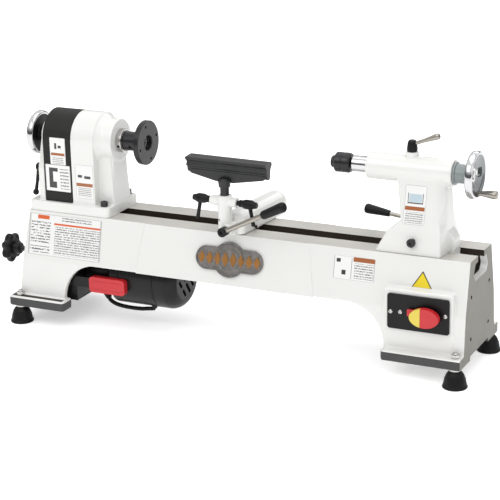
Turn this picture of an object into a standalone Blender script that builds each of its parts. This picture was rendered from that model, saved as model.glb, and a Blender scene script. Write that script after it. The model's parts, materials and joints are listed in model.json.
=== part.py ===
"""A benchtop wood lathe: cast bed on four rubber feet, headstock with stepped-pulley belt drive,
motor slung under the bed, tool rest on a swinging banjo, and a tailstock with a screw-fed quill.

Lengths below are millimetres in the bed's own frame: X runs along the bed from the headstock end,
Y runs from the operator to the back with 0 on the spindle's axis, and Z is 0 on top of the ways.
The part's origin is the middle of its footprint on the surface that it stands on.
"""
import math

import bmesh
import bpy
from mathutils import Matrix, Vector

MM = 0.001
GAP = 0.3
WELD = 0.00001
SMOOTH_BELOW = math.radians(32)

# Bed
BED_LENGTH = 812.0
BED_TOP_HALF = 54.0
BED_SKIRT_HALF = 73.0
BED_SKIRT_LOW = -85.0
BED_LEG_HALF = 79.0
BED_WALL = 9.0
END_WALL = 12.0
CHANNEL_LEFT = 10.0
END_DRAFT = 0.095
WAY_THICK = 14.0
PANEL_PROUD = 2.0
SLOT_HALF = 15.8
LEG_LEFT_END = 77.0
LEG_RIGHT_START = 676.0
FLANGE_HALF = 99.0
FLANGE_LOW = -167.0
FLANGE_TOP = -150.0
FLANGE_LEFT = (-26.0, 86.0)
FLANGE_RIGHT = (677.0, 812.0)

# Feet
FLOOR = -198.5
FOOT_X = (-7.4, 800.8)
FOOT_Y = 87.3
FOOT_R = 20.4
STUD_R = 4.0

# Spindle line
SWING = 127.0
FACEPLATE_R = 38.5
FACEPLATE_FACE = 214.7
NOSE_FACE = 161.0
NOSE_R = 37.0
HEAD_END = 160.0
HEAD_FLOOR = 18.0
COVER_X = (31.0, 86.0)
COVER_R = 47.0
COVER_WALL = 3.0
COVER_HINGE = (51.5, 106.0)

# Drive
MOTOR_Z = -111.0
MOTOR_R = 55.0
MOTOR_X = (150.0, 240.0)
FAN_FACE = 281.0
BELT_R = 30.0
MOTOR_PIVOT = (56.0, -118.0)
PULLEY_X = 32.5

# Tool rest
BANJO_X = 403.0
BANJO_TILT = -5.0
BANJO_REAR = 87.1
COLUMN = (396.5, -66.0)
COLUMN_TOP = 70.0
CAM_Z = 12.0
LEVER_Z = 59.0
REST_TOP = 129.5
REST_X = (320.0, 469.0)
REST_SKEW = -1.9

# Tailstock
TAIL_CAM = (712.0, 20.0)
BARREL_X = (621.0, 766.0)
BARREL_R = 21.8
QUILL_R = 13.5
QUILL_NOSE = 590.6
LOCK_X = 694.0
WHEEL_R = 39.0
HANDLE_END = 837.0
HANDLE_Z = 98.0

# Switch
PADDLE = (750.5, -87.5)

# Left-hand knob
KNOB = (-40.0, -80.0)
KNOB_X = (-62.0, -44.0)
KNOB_R = 27.0

X_MID = (KNOB_X[0] + HANDLE_END) / 2


# ---------------------------------------------------------------- tools

def world(x, y, z):
    """A point of the bed's frame, in world metres."""
    return Vector(((x - X_MID) * MM, y * MM, (z - FLOOR) * MM))


def on_axis(axis, along, a, b):
    """A point at this place along an axis, with a and b on the other two axes in order."""
    return {"X": world(along, a, b), "Y": world(a, along, b), "Z": world(a, b, along)}[axis]


def made(name, bm):
    bmesh.ops.remove_doubles(bm, verts=bm.verts, dist=WELD)
    bmesh.ops.recalc_face_normals(bm, faces=bm.faces)
    mesh = bpy.data.meshes.new(name)
    bm.to_mesh(mesh)
    bm.free()
    obj = bpy.data.objects.new(name, mesh)
    bpy.context.scene.collection.objects.link(obj)
    return obj


def loft(name, loops):
    """A closed solid through loops of equally many points."""
    bm = bmesh.new()
    rows = [[bm.verts.new(point) for point in loop] for loop in loops]
    bm.faces.new(rows[0])
    bm.faces.new(rows[-1])
    for low, high in zip(rows, rows[1:]):
        for i in range(len(low)):
            j = (i + 1) % len(low)
            bm.faces.new((low[i], low[j], high[j], high[i]))
    return made(name, bm)


def prism(name, outline, axis, low, high):
    loops = [[on_axis(axis, along, a, b) for a, b in outline] for along in (low, high)]
    return loft(name, loops)


def box(name, x, y, z):
    outline = [(x[0], y[0]), (x[1], y[0]), (x[1], y[1]), (x[0], y[1])]
    return prism(name, outline, "Z", z[0], z[1])


def turned(name, profile, base, towards, steps=24):
    """A profile of (along, radius) spun round the line from base towards another point.

    A profile that starts and ends at radius 0 is closed by flat faces, any other by its own loop.
    """
    along = (towards - base).normalized()
    across = along.orthogonal().normalized()
    beside = along.cross(across)
    turns = [math.tau * i / steps for i in range(steps)]
    spokes = [across * math.cos(t) + beside * math.sin(t) for t in turns]
    bm = bmesh.new()
    rows = []
    for a, r in profile:
        if r > 0:
            rows.append([bm.verts.new(base + along * (a * MM) + spoke * (r * MM)) for spoke in spokes])
    pairs = list(zip(rows, rows[1:]))
    if profile[0][1] > 0:
        pairs.append((rows[-1], rows[0]))
    else:
        bm.faces.new(rows[0])
        bm.faces.new(rows[-1])
    for low, high in pairs:
        for i in range(steps):
            j = (i + 1) % steps
            bm.faces.new((low[i], low[j], high[j], high[i]))
    return made(name, bm)


def along_x(name, profile, y, z, steps=24):
    """A profile of (x, radius) spun round a line along X."""
    return turned(name, profile, world(0, y, z), world(1, y, z), steps)


def rod(name, start, end, radius, steps=20):
    length = (end - start).length / MM
    return turned(name, [(0, 0), (0, radius), (length, radius), (length, 0)], start, end, steps)


def ring(name, x, outer, inner, y, z, steps=24):
    return along_x(name, [(x[0], inner), (x[0], outer), (x[1], outer), (x[1], inner)], y, z, steps)


def arc(centre, radii, start, end, count):
    """Points on an ellipse's arc, from one angle in degrees to another."""
    angles = [math.radians(start + (end - start) * i / count) for i in range(count + 1)]
    return [(centre[0] + radii[0] * math.cos(t), centre[1] + radii[1] * math.sin(t)) for t in angles]


def rounded(x, z, radius, count=4):
    """A rectangle's outline with round corners."""
    corners = ((x[1], z[1], 0), (x[0], z[1], 90), (x[0], z[0], 180), (x[1], z[0], 270))
    points = []
    for cx, cz, turn in corners:
        mid = (cx - math.copysign(radius, cx - sum(x) / 2), cz - math.copysign(radius, cz - sum(z) / 2))
        points += arc(mid, (radius, radius), turn, turn + 90, count)
    return points


def boolean(target, other, operation):
    step = target.modifiers.new(operation.title(), "BOOLEAN")
    step.operation = operation
    step.solver = "EXACT"
    step.object = other
    other.hide_render = True
    other.display_type = "WIRE"


def fuse(target, *others):
    for other in others:
        boolean(target, other, "UNION")


def cut(target, *others):
    for other in others:
        boolean(target, other, "DIFFERENCE")


def swing(objects, pivot, axis, degrees):
    """Turns the meshes of some objects about a point, in place."""
    turn = Matrix.Translation(pivot) @ Matrix.Rotation(math.radians(degrees), 4, axis)
    for obj in objects:
        obj.data.transform(turn @ Matrix.Translation(-pivot))


def paint(name, colour, roughness, metallic=0.0):
    material = bpy.data.materials.new(name)
    material.use_nodes = True
    shader = material.node_tree.nodes["Principled BSDF"]
    shader.inputs["Base Color"].default_value = (*colour, 1)
    shader.inputs["Roughness"].default_value = roughness
    shader.inputs["Metallic"].default_value = metallic
    return material


def body(name, point):
    """An empty that a moving body's pieces are parented to, on the body's joint axis."""
    empty = bpy.data.objects.new(name, None)
    empty.location = point
    bpy.context.scene.collection.objects.link(empty)
    return empty


def finish(obj, material, parent):
    if obj.modifiers:
        weld = obj.modifiers.new("Weld", "WELD")
        weld.merge_threshold = 2 * WELD
    obj.data.materials.append(material)
    obj.data.shade_smooth()
    obj.data.set_sharp_from_angle(angle=SMOOTH_BELOW)
    obj.parent = parent
    obj.location = -parent.location
    return obj


# ---------------------------------------------------------------- bed

def bed_half(z):
    """Half the bed's outside width at a height."""
    if z > BED_SKIRT_LOW:
        return BED_TOP_HALF + (BED_SKIRT_HALF - BED_TOP_HALF) * z / BED_SKIRT_LOW
    return BED_SKIRT_HALF + (BED_LEG_HALF - BED_SKIRT_HALF) * (z - BED_SKIRT_LOW) / (FLANGE_TOP - BED_SKIRT_LOW)


def bed_loop(heights, inset, x_of_z):
    """A cross-section of the bed, up one side and down the other."""
    left = [world(x_of_z(z), -bed_half(z) + inset, z) for z in heights]
    right = [world(x_of_z(z), bed_half(z) - inset, z) for z in reversed(heights)]
    return left + right


def bed_arch():
    """The opening under the bed, between the legs."""
    left = arc((137, FLANGE_TOP), (137 - LEG_LEFT_END, 65), 180, 90, 6)
    right = arc((605, FLANGE_TOP), (LEG_RIGHT_START - 605, 65), 90, 0, 6)
    outline = [(LEG_LEFT_END, -180)] + left + right + [(LEG_RIGHT_START, -180)]
    return prism("arch", outline, "Y", -130, 130)


def raised_panel():
    """The middle of both sides, a little proud of the ends, between slanting edges."""
    loops = []
    for z, start, end in ((-2, 235, 537), (-90, 220, 552)):
        half = bed_half(z) + PANEL_PROUD
        loops.append([world(x, y, z) for x, y in ((start, -half), (end, -half), (end, half), (start, half))])
    return loft("raised_panel", loops)


def bed_casting(material, parent):
    heights = [0, BED_SKIRT_LOW, FLANGE_TOP]
    outer = [bed_loop(heights, 0, lambda z: z * END_DRAFT), bed_loop(heights, 0, lambda z: BED_LENGTH)]
    bed = loft("bed_casting", outer)
    inner_heights = [-WAY_THICK, BED_SKIRT_LOW, FLANGE_TOP, -180]
    inner = [bed_loop(inner_heights, BED_WALL, lambda z: CHANNEL_LEFT),
             bed_loop(inner_heights, BED_WALL, lambda z: BED_LENGTH - END_WALL)]
    fuse(bed, raised_panel())
    cut(bed, bed_arch())
    for x in (FLANGE_LEFT, FLANGE_RIGHT):
        outline = rounded(x, (-FLANGE_HALF, FLANGE_HALF), 6, 2)
        fuse(bed, prism("flange", outline, "Z", FLANGE_LOW, FLANGE_TOP + 0.5))
    fuse(bed, box("switch_boss", (677, 793), (-79.5, -62), (-151, -50)))
    cut(bed, loft("channel", inner))
    cut(bed, box("slot", (-30, 830), (-SLOT_HALF, SLOT_HALF), (-20, 5)))
    cut(bed, box("belt_opening", (24, 88), (-44, 44), (-20, 5)))
    cut(bed, box("switch_opening", (690, 781), (-90, -55), (-110, -62)))
    notch = [(-28, -10), (-37, -28), (-29, -39), (29, -39), (37, -28), (28, -10)]
    cut(bed, prism("end_notch", notch, "X", 790, 830))
    cut(bed, box("end_recess", (790, 830), (-46, 46), (-180, -160)))
    for y, z in ((-45.6, -60), (45.6, -60), (-45, -131), (45, -131)):
        cut(bed, rod("end_hole", world(790, y, z), world(830, y, z), 3.3, 10))
    for x in FOOT_X:
        for y in (-FOOT_Y, FOOT_Y):
            cut(bed, rod("stud_hole", world(x, y, -180), world(x, y, -140), STUD_R + GAP, 12))
    for y in (-42, 42):
        cut(bed, rod("screw_hole", world(146, y, -20), world(146, y, 5), 4.3, 12))
    y, z = KNOB
    cut(bed, rod("knob_hole", world(-40, y, z), world(20, y, z), 5.3, 16))
    y, z = MOTOR_PIVOT
    cut(bed, rod("pin_hole", world(-40, y, z), world(20, y, z), 5.3, 16))
    return finish(bed, material, parent)


def foot(name, x, y, material, parent):
    profile = [(0, 0), (0, FOOT_R), (3, FOOT_R), (15, 17.5), (22, 14.5), (26, 11.5), (28.2, 8)]
    profile += [(28.2, 4.4), (8, 4.4), (8, 0)]
    return finish(turned(name, profile, world(x, y, FLOOR), world(x, y, 0), 16), material, parent)


def foot_stud(name, x, y, material, parent):
    """A levelling stud with the washer face under the flange and the nut on top of it."""
    profile = [(0, 0), (0, STUD_R), (20.2, STUD_R), (20.2, 9.5), (22.9, 9.5), (22.9, STUD_R)]
    profile += [(41, STUD_R), (41, 6.8), (47, 6.8), (47, STUD_R), (50.2, STUD_R), (50.2, 0)]
    return finish(turned(name, profile, world(x, y, -190.2), world(x, y, 0), 12), material, parent)


def nameplate(material, parent):
    plate = prism("nameplate", rounded((335, 459), (-62, -22), 19.9, 6), "Y", -3, 0)
    disc = rod("disc", world(397, -3, -42), world(397, 0, -42), 30, 40)
    fuse(plate, disc)
    lean = math.degrees(math.atan2(BED_SKIRT_HALF - BED_TOP_HALF, -BED_SKIRT_LOW))
    proud = Matrix.Translation(Vector((0, -(bed_half(-42) + PANEL_PROUD + GAP) * MM, 0)))
    for piece in (plate, disc):
        swing([piece], world(0, 0, -42), "X", -lean)
        piece.data.transform(proud)
    return finish(plate, material, parent)


# ---------------------------------------------------------------- headstock

def arch_outline(half, low, centre=SWING, count=10):
    """Straight sides with a round top, in Y and Z."""
    return [(half, low)] + arc((0, centre), (half, half), 0, 180, count) + [(-half, low)]


def left_wall_outline():
    """Wide at its foot, and drawn in to a boss round the rear bearing."""
    top = arc((0, SWING), (31, 31), 0, 180, 10)
    return [(46, 10), (46, 76)] + top + [(-46, 76), (-46, 10)]


def headstock_casting(material, parent):
    outline = rounded((0, HEAD_END), (-53, 53), 8, 2)
    head = prism("headstock_casting", outline, "Z", GAP, HEAD_FLOOR)
    left, right = COVER_X
    fuse(head, prism("left_wall", left_wall_outline(), "X", 18, left - GAP))
    fuse(head, prism("front_body", arch_outline(COVER_R, 10), "X", right + GAP, 131))
    low = [world(x, y, 10) for x, y in ((100, -30), (158, -27), (158, 27), (100, 30))]
    high = [world(x, y, 120) for x, y in ((100, -24), (158, -22), (158, 22), (100, 24))]
    fuse(head, loft("column", [low, high]))
    fuse(head, along_x("nose", [(110, 0), (110, NOSE_R), (NOSE_FACE, NOSE_R), (NOSE_FACE, 0)], 0, SWING, 32))
    root = [(122, 0), (122, COVER_R - 1), (131, COVER_R - 1), (142, NOSE_R), (142, 0)]
    fuse(head, along_x("nose_root", root, 0, SWING, 32))
    fuse(head, box("rear_wall", (20, 100), (39, 46), (10, 100)))
    y, z = COVER_HINGE
    for x in ((38, 45.7), (66.3, 74)):
        fuse(head, box("lug", x, (42, y + 1), (90, z)))
        fuse(head, rod("lug_eye", world(x[0], y, z), world(x[1], y, z), 5, 16))
    cut(head, rod("pin_hole", world(30, y, z), world(80, y, z), 2.8, 12))
    bore = [(60, 0), (60, 31.3), (152, 31.3), (152, 20), (170, 20), (170, 0)]
    cut(head, along_x("spindle_bore", bore, 0, SWING))
    cut(head, rod("rear_bore", world(10, 0, SWING), world(40, 0, SWING), 20.3, 32))
    cut(head, box("belt_way", (28, 84), (-38.5, 38.5), (-5, 30)))
    for y in (-42, 42):
        cut(head, rod("screw_hole", world(146, y, -5), world(146, y, 25), 4.3, 12))
    y, z = -30, 73
    cut(head, rod("lever_hole", world(10, y, z), world(40, y, z), 3.3, 12))
    return finish(head, material, parent)


def headstock_screw(name, y, material, parent):
    profile = [(0, 0), (0, 4), (30.3, 4), (30.3, 6.5), (38.3, 6.5), (38.3, 3), (34, 3), (34, 0)]
    return finish(turned(name, profile, world(146, y, -12), world(146, y, 0), 12), material, parent)


def spindle(material, parent):
    profile = [(-8, 5), (-8, 10), (16.5, 10), (16.5, 12), (30, 12), (30, 14), (84, 14), (84, 16)]
    profile += [(137, 16), (137, 17.5), (171, 17.5), (171, 12.5), (206, 12.5), (206, 8), (165, 5)]
    return finish(along_x("spindle", profile, 0, SWING), material, parent)


def stepped_pulley(name, radii, bore, z, material, parent):
    """Three belt steps with a low rim between them."""
    profile = [(PULLEY_X, bore)]
    for i, radius in enumerate(radii):
        x = PULLEY_X + 16.5 * i
        profile += [(x, radius + 3), (x + 1.2, radius + 3), (x + 1.5, radius), (x + 15, radius)]
    end = PULLEY_X + 16.5 * len(radii)
    profile += [(end - 1.2, radii[-1] + 3), (end, radii[-1] + 3), (end, bore)]
    return finish(along_x(name, profile, 0, z), material, parent)


def belt_loop(radius):
    top = arc((0, SWING), (radius, radius), 0, 180, 14)
    low = arc((0, MOTOR_Z), (radius, radius), 180, 360, 14)
    return top + low


def drive_belt(material, parent):
    belt = prism("drive_belt", belt_loop(BELT_R + 3), "X", 51.5, 62.5)
    cut(belt, prism("belt_inside", belt_loop(BELT_R + GAP), "X", 45, 70))
    return finish(belt, material, parent)


def outboard_handwheel(material, parent):
    profile = [(-7, 10.3), (-7, 14), (-3, 15), (-3, 32), (-8, 34), (-8, 37), (-5, 39), (0, 39)]
    profile += [(4, 37), (4, 34), (2, 32), (2, 15), (16, 14), (16, 10.3)]
    return finish(along_x("outboard_handwheel", profile, 0, SWING, 32), material, parent)


def belt_cover(material, parent):
    left, right = COVER_X
    low = HEAD_FLOOR + GAP
    start, end = 180.0, -18.0
    outside = [(-COVER_R, low)] + arc((0, SWING), (COVER_R, COVER_R), start, end, 14)
    inner = COVER_R - COVER_WALL
    inside = [(-inner, low)] + arc((0, SWING), (inner, inner), start, end, 14)
    cover = prism("belt_cover", outside + inside[::-1], "X", left, right)
    y, z = COVER_HINGE
    fuse(cover, box("strap", (46, 66), (y - 8.5, y), (z, z + 8)))
    fuse(cover, rod("knuckle", world(46, y, z), world(66, y, z), 5, 16))
    cut(cover, rod("knuckle_hole", world(40, y, z), world(72, y, z), 2.8, 12))
    return finish(cover, material, parent)


def headstock_lever(material, parent):
    y, z = -30, 73
    lever = along_x("headstock_lever", [(6, 0), (6, 6), (8, 7.5), (17.7, 7.5), (17.7, 3), (27, 3), (27, 0)], y, z, 20)
    fuse(lever, rod("arm", world(10, y, z), world(1, y, 28), 3.2, 12))
    ball = [(0, 0), (0.8, 3), (3, 5), (5.5, 5.5), (8, 5), (10.2, 3), (11, 0)]
    fuse(lever, turned("ball", ball, world(1.5, y, 31), world(-0.6, y, 20.5), 16))
    return finish(lever, material, parent)


def faceplate(material, parent):
    hub = 16.7
    disc = FACEPLATE_FACE - 9.7
    profile = [(171.3, 12.8), (171.3, hub), (disc - 2, hub), (disc, hub + 2), (disc, FACEPLATE_R)]
    profile += [(FACEPLATE_FACE, FACEPLATE_R), (FACEPLATE_FACE, 12.8)]
    plate = along_x("faceplate", profile, 0, SWING, 32)
    for i in range(4):
        t = math.radians(104 + 90 * i)
        y, z = 30 * math.cos(t), SWING + 30 * math.sin(t)
        cut(plate, rod("screw_hole", world(200, y, z), world(220, y, z), 2.6, 10))
    return finish(plate, material, parent)


# ---------------------------------------------------------------- motor

GLAND = (world(132.6, -25.6, -145.6), world(138.5, -27, -156))
LEAD_ENTRY = (world(233.5, -27, -150), world(228.5, -27, -161.5))
LEAD_R = 3.6


def motor_bracket(material, parent):
    """A bent plate: its end carries the motor, its front carries the lifting bar."""
    bracket = box("motor_bracket", (88, 93), (-60, 62), (-156, -84))
    fuse(bracket, box("front", (60, 91), (-60, -56), (-156, -98)))
    fuse(bracket, box("bar", (80, 186), (-62.5, -57.5), (-128, -110)))
    y, z = MOTOR_PIVOT
    fuse(bracket, rod("pivot_tube", world(14, y, z), world(92, y, z), 9, 20))
    cut(bracket, rod("pivot_hole", world(0, y, z), world(110, y, z), 5.3, 16))
    cut(bracket, rod("shaft_hole", world(80, 0, MOTOR_Z), world(100, 0, MOTOR_Z), 9, 20))
    return finish(bracket, material, parent)


def motor_housing(material, parent):
    low, high = MOTOR_X
    profile = [(93.3, 7.3), (93.3, 30), (98, 36), (140, 38), (low, 40), (low, MOTOR_R - 6), (low + 6, MOTOR_R)]
    profile += [(high, MOTOR_R), (high, 7.3)]
    housing = along_x("motor_housing", profile, 0, MOTOR_Z, 32)
    fuse(housing, rod("lead_entry", *LEAD_ENTRY, 5.5, 16))
    return finish(housing, material, parent)


def fan_cover(material, parent):
    rim, wall = MOTOR_X[1] + GAP, 3.5
    outer = [(FAN_FACE, 0), (FAN_FACE, 40), (277, 46.5), (271, 51.5), (262, MOTOR_R), (rim, MOTOR_R)]
    inner = [(rim, MOTOR_R - wall), (261, MOTOR_R - wall), (269, 48), (274, 43.5), (277.5, 38), (277.5, 0)]
    cover = along_x("fan_cover", outer + inner, 0, MOTOR_Z, 32)
    for row in (-1, 1):
        for i in range(4):
            y = -22.5 + 15 * i
            reach = 26 if abs(y) < 10 else 17
            z = MOTOR_Z + row * (3 + reach / 2)
            slot = box("slot", (270, 290), (y - 2.6, y + 2.6), (z - reach / 2, z + reach / 2))
            swing([slot], world(0, 0, MOTOR_Z), "X", -35)
            cut(cover, slot)
    return finish(cover, material, parent)


def tension_grip(material, parent):
    grip = prism("tension_grip", rounded((122, 192), (-134, -106), 6), "Y", -66.5, -55.4)
    cut(grip, box("bar_socket", (110, 186.3), (-62.8, -57.2), (-128.3, -109.7)))
    return finish(grip, material, parent)


def cooling_fan(material, parent):
    fan = ring("cooling_fan", (246, 258), 12, 7.3, 0, MOTOR_Z, 24)
    for i in range(7):
        blade = box("blade", (247, 257), (-1.2, 1.2), (MOTOR_Z + 10, MOTOR_Z + 45))
        swing([blade], world(0, 0, MOTOR_Z), "X", 360 / 7 * i)
        fuse(fan, blade)
    return finish(fan, material, parent)


def lead_gland(material, parent):
    start, end = GLAND
    length = (end - start).length / MM
    profile = [(0, 0), (0, 6.5), (4, 6.5), (length, 4.6), (length, 0)]
    return finish(turned("lead_gland", profile, start, end, 16), material, parent)


def smooth_route(points, count):
    """A Catmull-Rom curve through hand-set points, evenly stepped."""
    ends = [points[0] * 2 - points[1]] + points + [points[-1] * 2 - points[-2]]
    found = []
    for a, b, c, d in zip(ends, ends[1:], ends[2:], ends[3:]):
        for i in range(count):
            t = i / count
            found.append(0.5 * ((2 * b) + (c - a) * t + (2 * a - 5 * b + 4 * c - d) * t * t
                                + (3 * b - a - 3 * c + d) * t * t * t))
    return found + [points[-1]]


def motor_lead(material, parent):
    """The short lead that loops under the motor, from the bracket's gland to the motor's."""
    out = (GLAND[1] - GLAND[0]).normalized()
    back = (LEAD_ENTRY[1] - LEAD_ENTRY[0]).normalized()
    start = [GLAND[1] + out * (distance * MM) for distance in (GAP, 3)]
    end = [LEAD_ENTRY[1] + back * (distance * MM) for distance in (3, GAP)]
    via = [world(x, -27, z) for x, z in ((145, -162.5), (156, -166.2), (171, -168), (188, -168.4), (204, -167.6), (217, -165.6))]
    curve = bpy.data.curves.new("motor_lead", "CURVE")
    curve.dimensions = "3D"
    curve.bevel_depth = LEAD_R * MM
    curve.bevel_resolution = 2
    curve.use_fill_caps = True
    points = start[:1] + smooth_route(start[1:] + via + end[:1], 2) + end[1:]
    spline = curve.splines.new("POLY")
    spline.points.add(len(points) - 1)
    for knot, point in zip(spline.points, points):
        knot.co = (*point, 1)
    lead = bpy.data.objects.new("motor_lead", curve)
    bpy.context.scene.collection.objects.link(lead)
    curve.materials.append(material)
    lead.parent = parent
    lead.location = -parent.location
    return lead


def lock_knob(material, parent):
    y0, z0 = KNOB
    low, high = KNOB_X
    count = 42
    lobes = []
    for i in range(count):
        t = math.tau * i / count
        lobes.append((math.cos(t), math.sin(t), 0.9 + 0.1 * math.cos(7 * t)))
    loops = []
    for x, radius in ((low, 19.0), (low + 4, 25.0), (low + 8, KNOB_R), (high - 5, KNOB_R), (high, 22.0)):
        loops.append([world(x, y0 + radius * k * a, z0 + radius * k * b) for a, b, k in lobes])
    knob = loft("lock_knob", loops)
    fuse(knob, along_x("hub", [(high - 6, 0), (high - 6, 12), (-32, 10), (-32, 5), (14, 5), (14, 0)], y0, z0, 20))
    return finish(knob, material, parent)


# ---------------------------------------------------------------- tool rest

def banjo_tilt(*objects):
    swing(objects, world(BANJO_X, 0, 0), "Z", BANJO_TILT)


def banjo_clamp_plate(material, parent):
    plate = box("banjo_clamp_plate", (BANJO_X - 17, BANJO_X + 17), (-34, 34), (-26, -WAY_THICK - GAP))
    fuse(plate, box("guide", (BANJO_X - 12, BANJO_X + 12), (-14.5, 14.5), (-16, -6)))
    cut(plate, rod("hole", world(BANJO_X, 0, -40), world(BANJO_X, 0, 0), 6.3, 16))
    return finish(plate, material, parent)


def banjo_clamp_bolt(material, parent):
    bolt = rod("banjo_clamp_bolt", world(BANJO_X, 0, -38), world(BANJO_X, 0, 8), 6, 16)
    fuse(bolt, rod("nut", world(BANJO_X, 0, -36), world(BANJO_X, 0, -26.3), 10.5, 6))
    eye = rod("eye", world(BANJO_X, -8, CAM_Z), world(BANJO_X, 8, CAM_Z), 10, 24)
    hole = rod("eye_hole", world(BANJO_X, -12, CAM_Z), world(BANJO_X, 12, CAM_Z), 5.3, 16)
    banjo_tilt(eye, hole)
    fuse(bolt, eye)
    cut(bolt, hole)
    return finish(bolt, material, parent)


def banjo_layers():
    """Plan outlines of the banjo's body from its foot to its crown."""
    layers = []
    for z, inset in ((GAP, 1.0), (3, 0), (22, 0), (30, 3), (34.5, 7.5), (37, 13)):
        half = 21 - inset
        back = arc((BANJO_X, BANJO_REAR), (half, half), 0, 180, 10)
        front = arc((BANJO_X, -48 + inset * 0.6), (half, 10), 180, 360, 6)
        layers.append([world(x, y, z) for x, y in back + front])
    return layers


def banjo(material, parent):
    body_shape = loft("banjo", banjo_layers())
    x, y = COLUMN
    column = rod("column", world(x, y, 2), world(x, y, COLUMN_TOP), 12, 28)
    neck = box("neck", (x - 11, BANJO_X + 11), (-66, -48), (2, 24))
    nose = rod("cam_boss", world(BANJO_X, -77.5, CAM_Z), world(BANJO_X, -50, CAM_Z), 10.5, 24)
    arm = rod("lever_boss", world(x - 26, y, LEVER_Z), world(x + 24, y, LEVER_Z), 8.5, 20)
    inside = box("inside", (BANJO_X - 14.5, BANJO_X + 14.5), (-44, BANJO_REAR + 4), (-5, 24))
    cam_hole = rod("cam_hole", world(BANJO_X, -90, CAM_Z), world(BANJO_X, 86, CAM_Z), 5.3, 16)
    post_hole = rod("post_hole", world(x, y, 28), world(x, y, 90), 7.8, 20)
    lever_hole = rod("lever_hole", world(x - 40, y, LEVER_Z), world(x + 40, y, LEVER_Z), 4.3, 12)
    banjo_tilt(body_shape, column, neck, nose, arm, inside, cam_hole, post_hole, lever_hole)
    fuse(body_shape, neck, column, nose, arm)
    cut(body_shape, inside, cam_hole, post_hole, lever_hole)
    return finish(body_shape, material, parent)


LEVER_SLOPE = math.radians(26.8)
LEVER_Y = -84.7
GRIP_START = 84.0
GRIP_END = 132.0


def lever_point(distance):
    """A point on the banjo lever's own line, before the banjo's tilt."""
    return world(BANJO_X + distance * math.cos(LEVER_SLOPE), LEVER_Y, CAM_Z + distance * math.sin(LEVER_SLOPE))


def banjo_lever(material, parent):
    shaft = rod("banjo_lever", world(BANJO_X, -88, CAM_Z), world(BANJO_X, 82, CAM_Z), 5, 16)
    hub = rod("hub", world(BANJO_X, -91, CAM_Z), world(BANJO_X, -78.4, CAM_Z), 8, 24)
    arm = rod("arm", lever_point(2), lever_point(GRIP_END - 8), 4.2, 16)
    banjo_tilt(shaft, hub, arm)
    fuse(shaft, hub, arm)
    return finish(shaft, material, parent)


def banjo_lever_grip(material, parent):
    length = GRIP_END - GRIP_START
    profile = [(0, 4.5), (0, 6.4), (3, 7.2), (length - 5, 8.6), (length, 6.5), (length, 0), (length - 7.7, 0)]
    profile += [(length - 7.7, 4.5)]
    grip = turned("banjo_lever_grip", profile[:6], lever_point(GRIP_START), lever_point(GRIP_END), 20)
    bm_profile = [(-1, 0), (-1, 4.5), (length - 7.7, 4.5), (length - 7.7, 0)]
    socket = turned("socket", bm_profile, lever_point(GRIP_START), lever_point(GRIP_END), 16)
    banjo_tilt(grip, socket)
    cut(grip, socket)
    return finish(grip, material, parent)


def post_lever(name, side, material, parent):
    """A clamping handle on the column: a hub along X with an arm that hangs from it."""
    x, y = COLUMN
    start = x + side * 11
    reach = [(0, 0), (0, 4), (17.6, 4), (17.6, 6), (21, 6), (21, 5), (24, 6.5), (29, 8), (40, 8), (46, 5.5), (50, 5), (50, 0)]
    hub = turned(name, reach, world(start, y, LEVER_Z), world(start + side, y, LEVER_Z), 20)
    foot_at = world(start + side * 43, y, LEVER_Z - 36)
    arm = rod("arm", world(start + side * 36, y, LEVER_Z), foot_at, 3.4, 12)
    banjo_tilt(hub, arm)
    fuse(hub, arm)
    return finish(hub, material, parent)


def column_point(z):
    """A point on the column's axis, with the banjo's tilt."""
    offset = Matrix.Rotation(math.radians(BANJO_TILT), 3, "Z") @ Vector((COLUMN[0] - BANJO_X, COLUMN[1], 0))
    return world(BANJO_X + offset.x, offset.y, z)


def tool_rest_post(material, parent):
    post = turned("tool_rest_post", [(0, 0), (0, 7.5), (57, 7.5), (57, 0)], column_point(42), column_point(99), 24)
    return finish(post, material, parent)


def tool_rest(material, parent):
    x0, x1 = REST_X
    top = REST_TOP
    section = [(-47, top + 0.5), (-69, top - 0.5), (-70, top - 3), (-68, top - 6), (-64.5, 121), (-64.5, 118)]
    section += [(-66.5, 116), (-66.5, 113.5), (-63, 111.5), (-62, 104.6), (-58, 101), (-53, 103), (-51, 119), (-46, 124)]
    rest = prism("tool_rest", section, "X", x0, x1)
    x = column_point(0).x / MM + X_MID
    outline = [(x0 + 3, 108), (x1 - 3, 108), (x1 - 6, 101), (x + 16, 91), (x - 16, 91), (x0 + 6, 101)]
    web = prism("web", outline, "Y", -63.5, -56.5)
    swing([rest, web], column_point(0), "Z", REST_SKEW)
    fuse(rest, web)
    boss = [(0, 0), (0, 9.6), (7.5, 10.2), (9, 12), (12, 12), (17, 9), (21, 4), (21, 0)]
    fuse(rest, turned("boss", boss, column_point(84), column_point(110), 24))
    cut(rest, rod("socket", column_point(80), column_point(99.3), 7.8, 20))
    return finish(rest, material, parent)


# ---------------------------------------------------------------- tailstock

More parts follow.
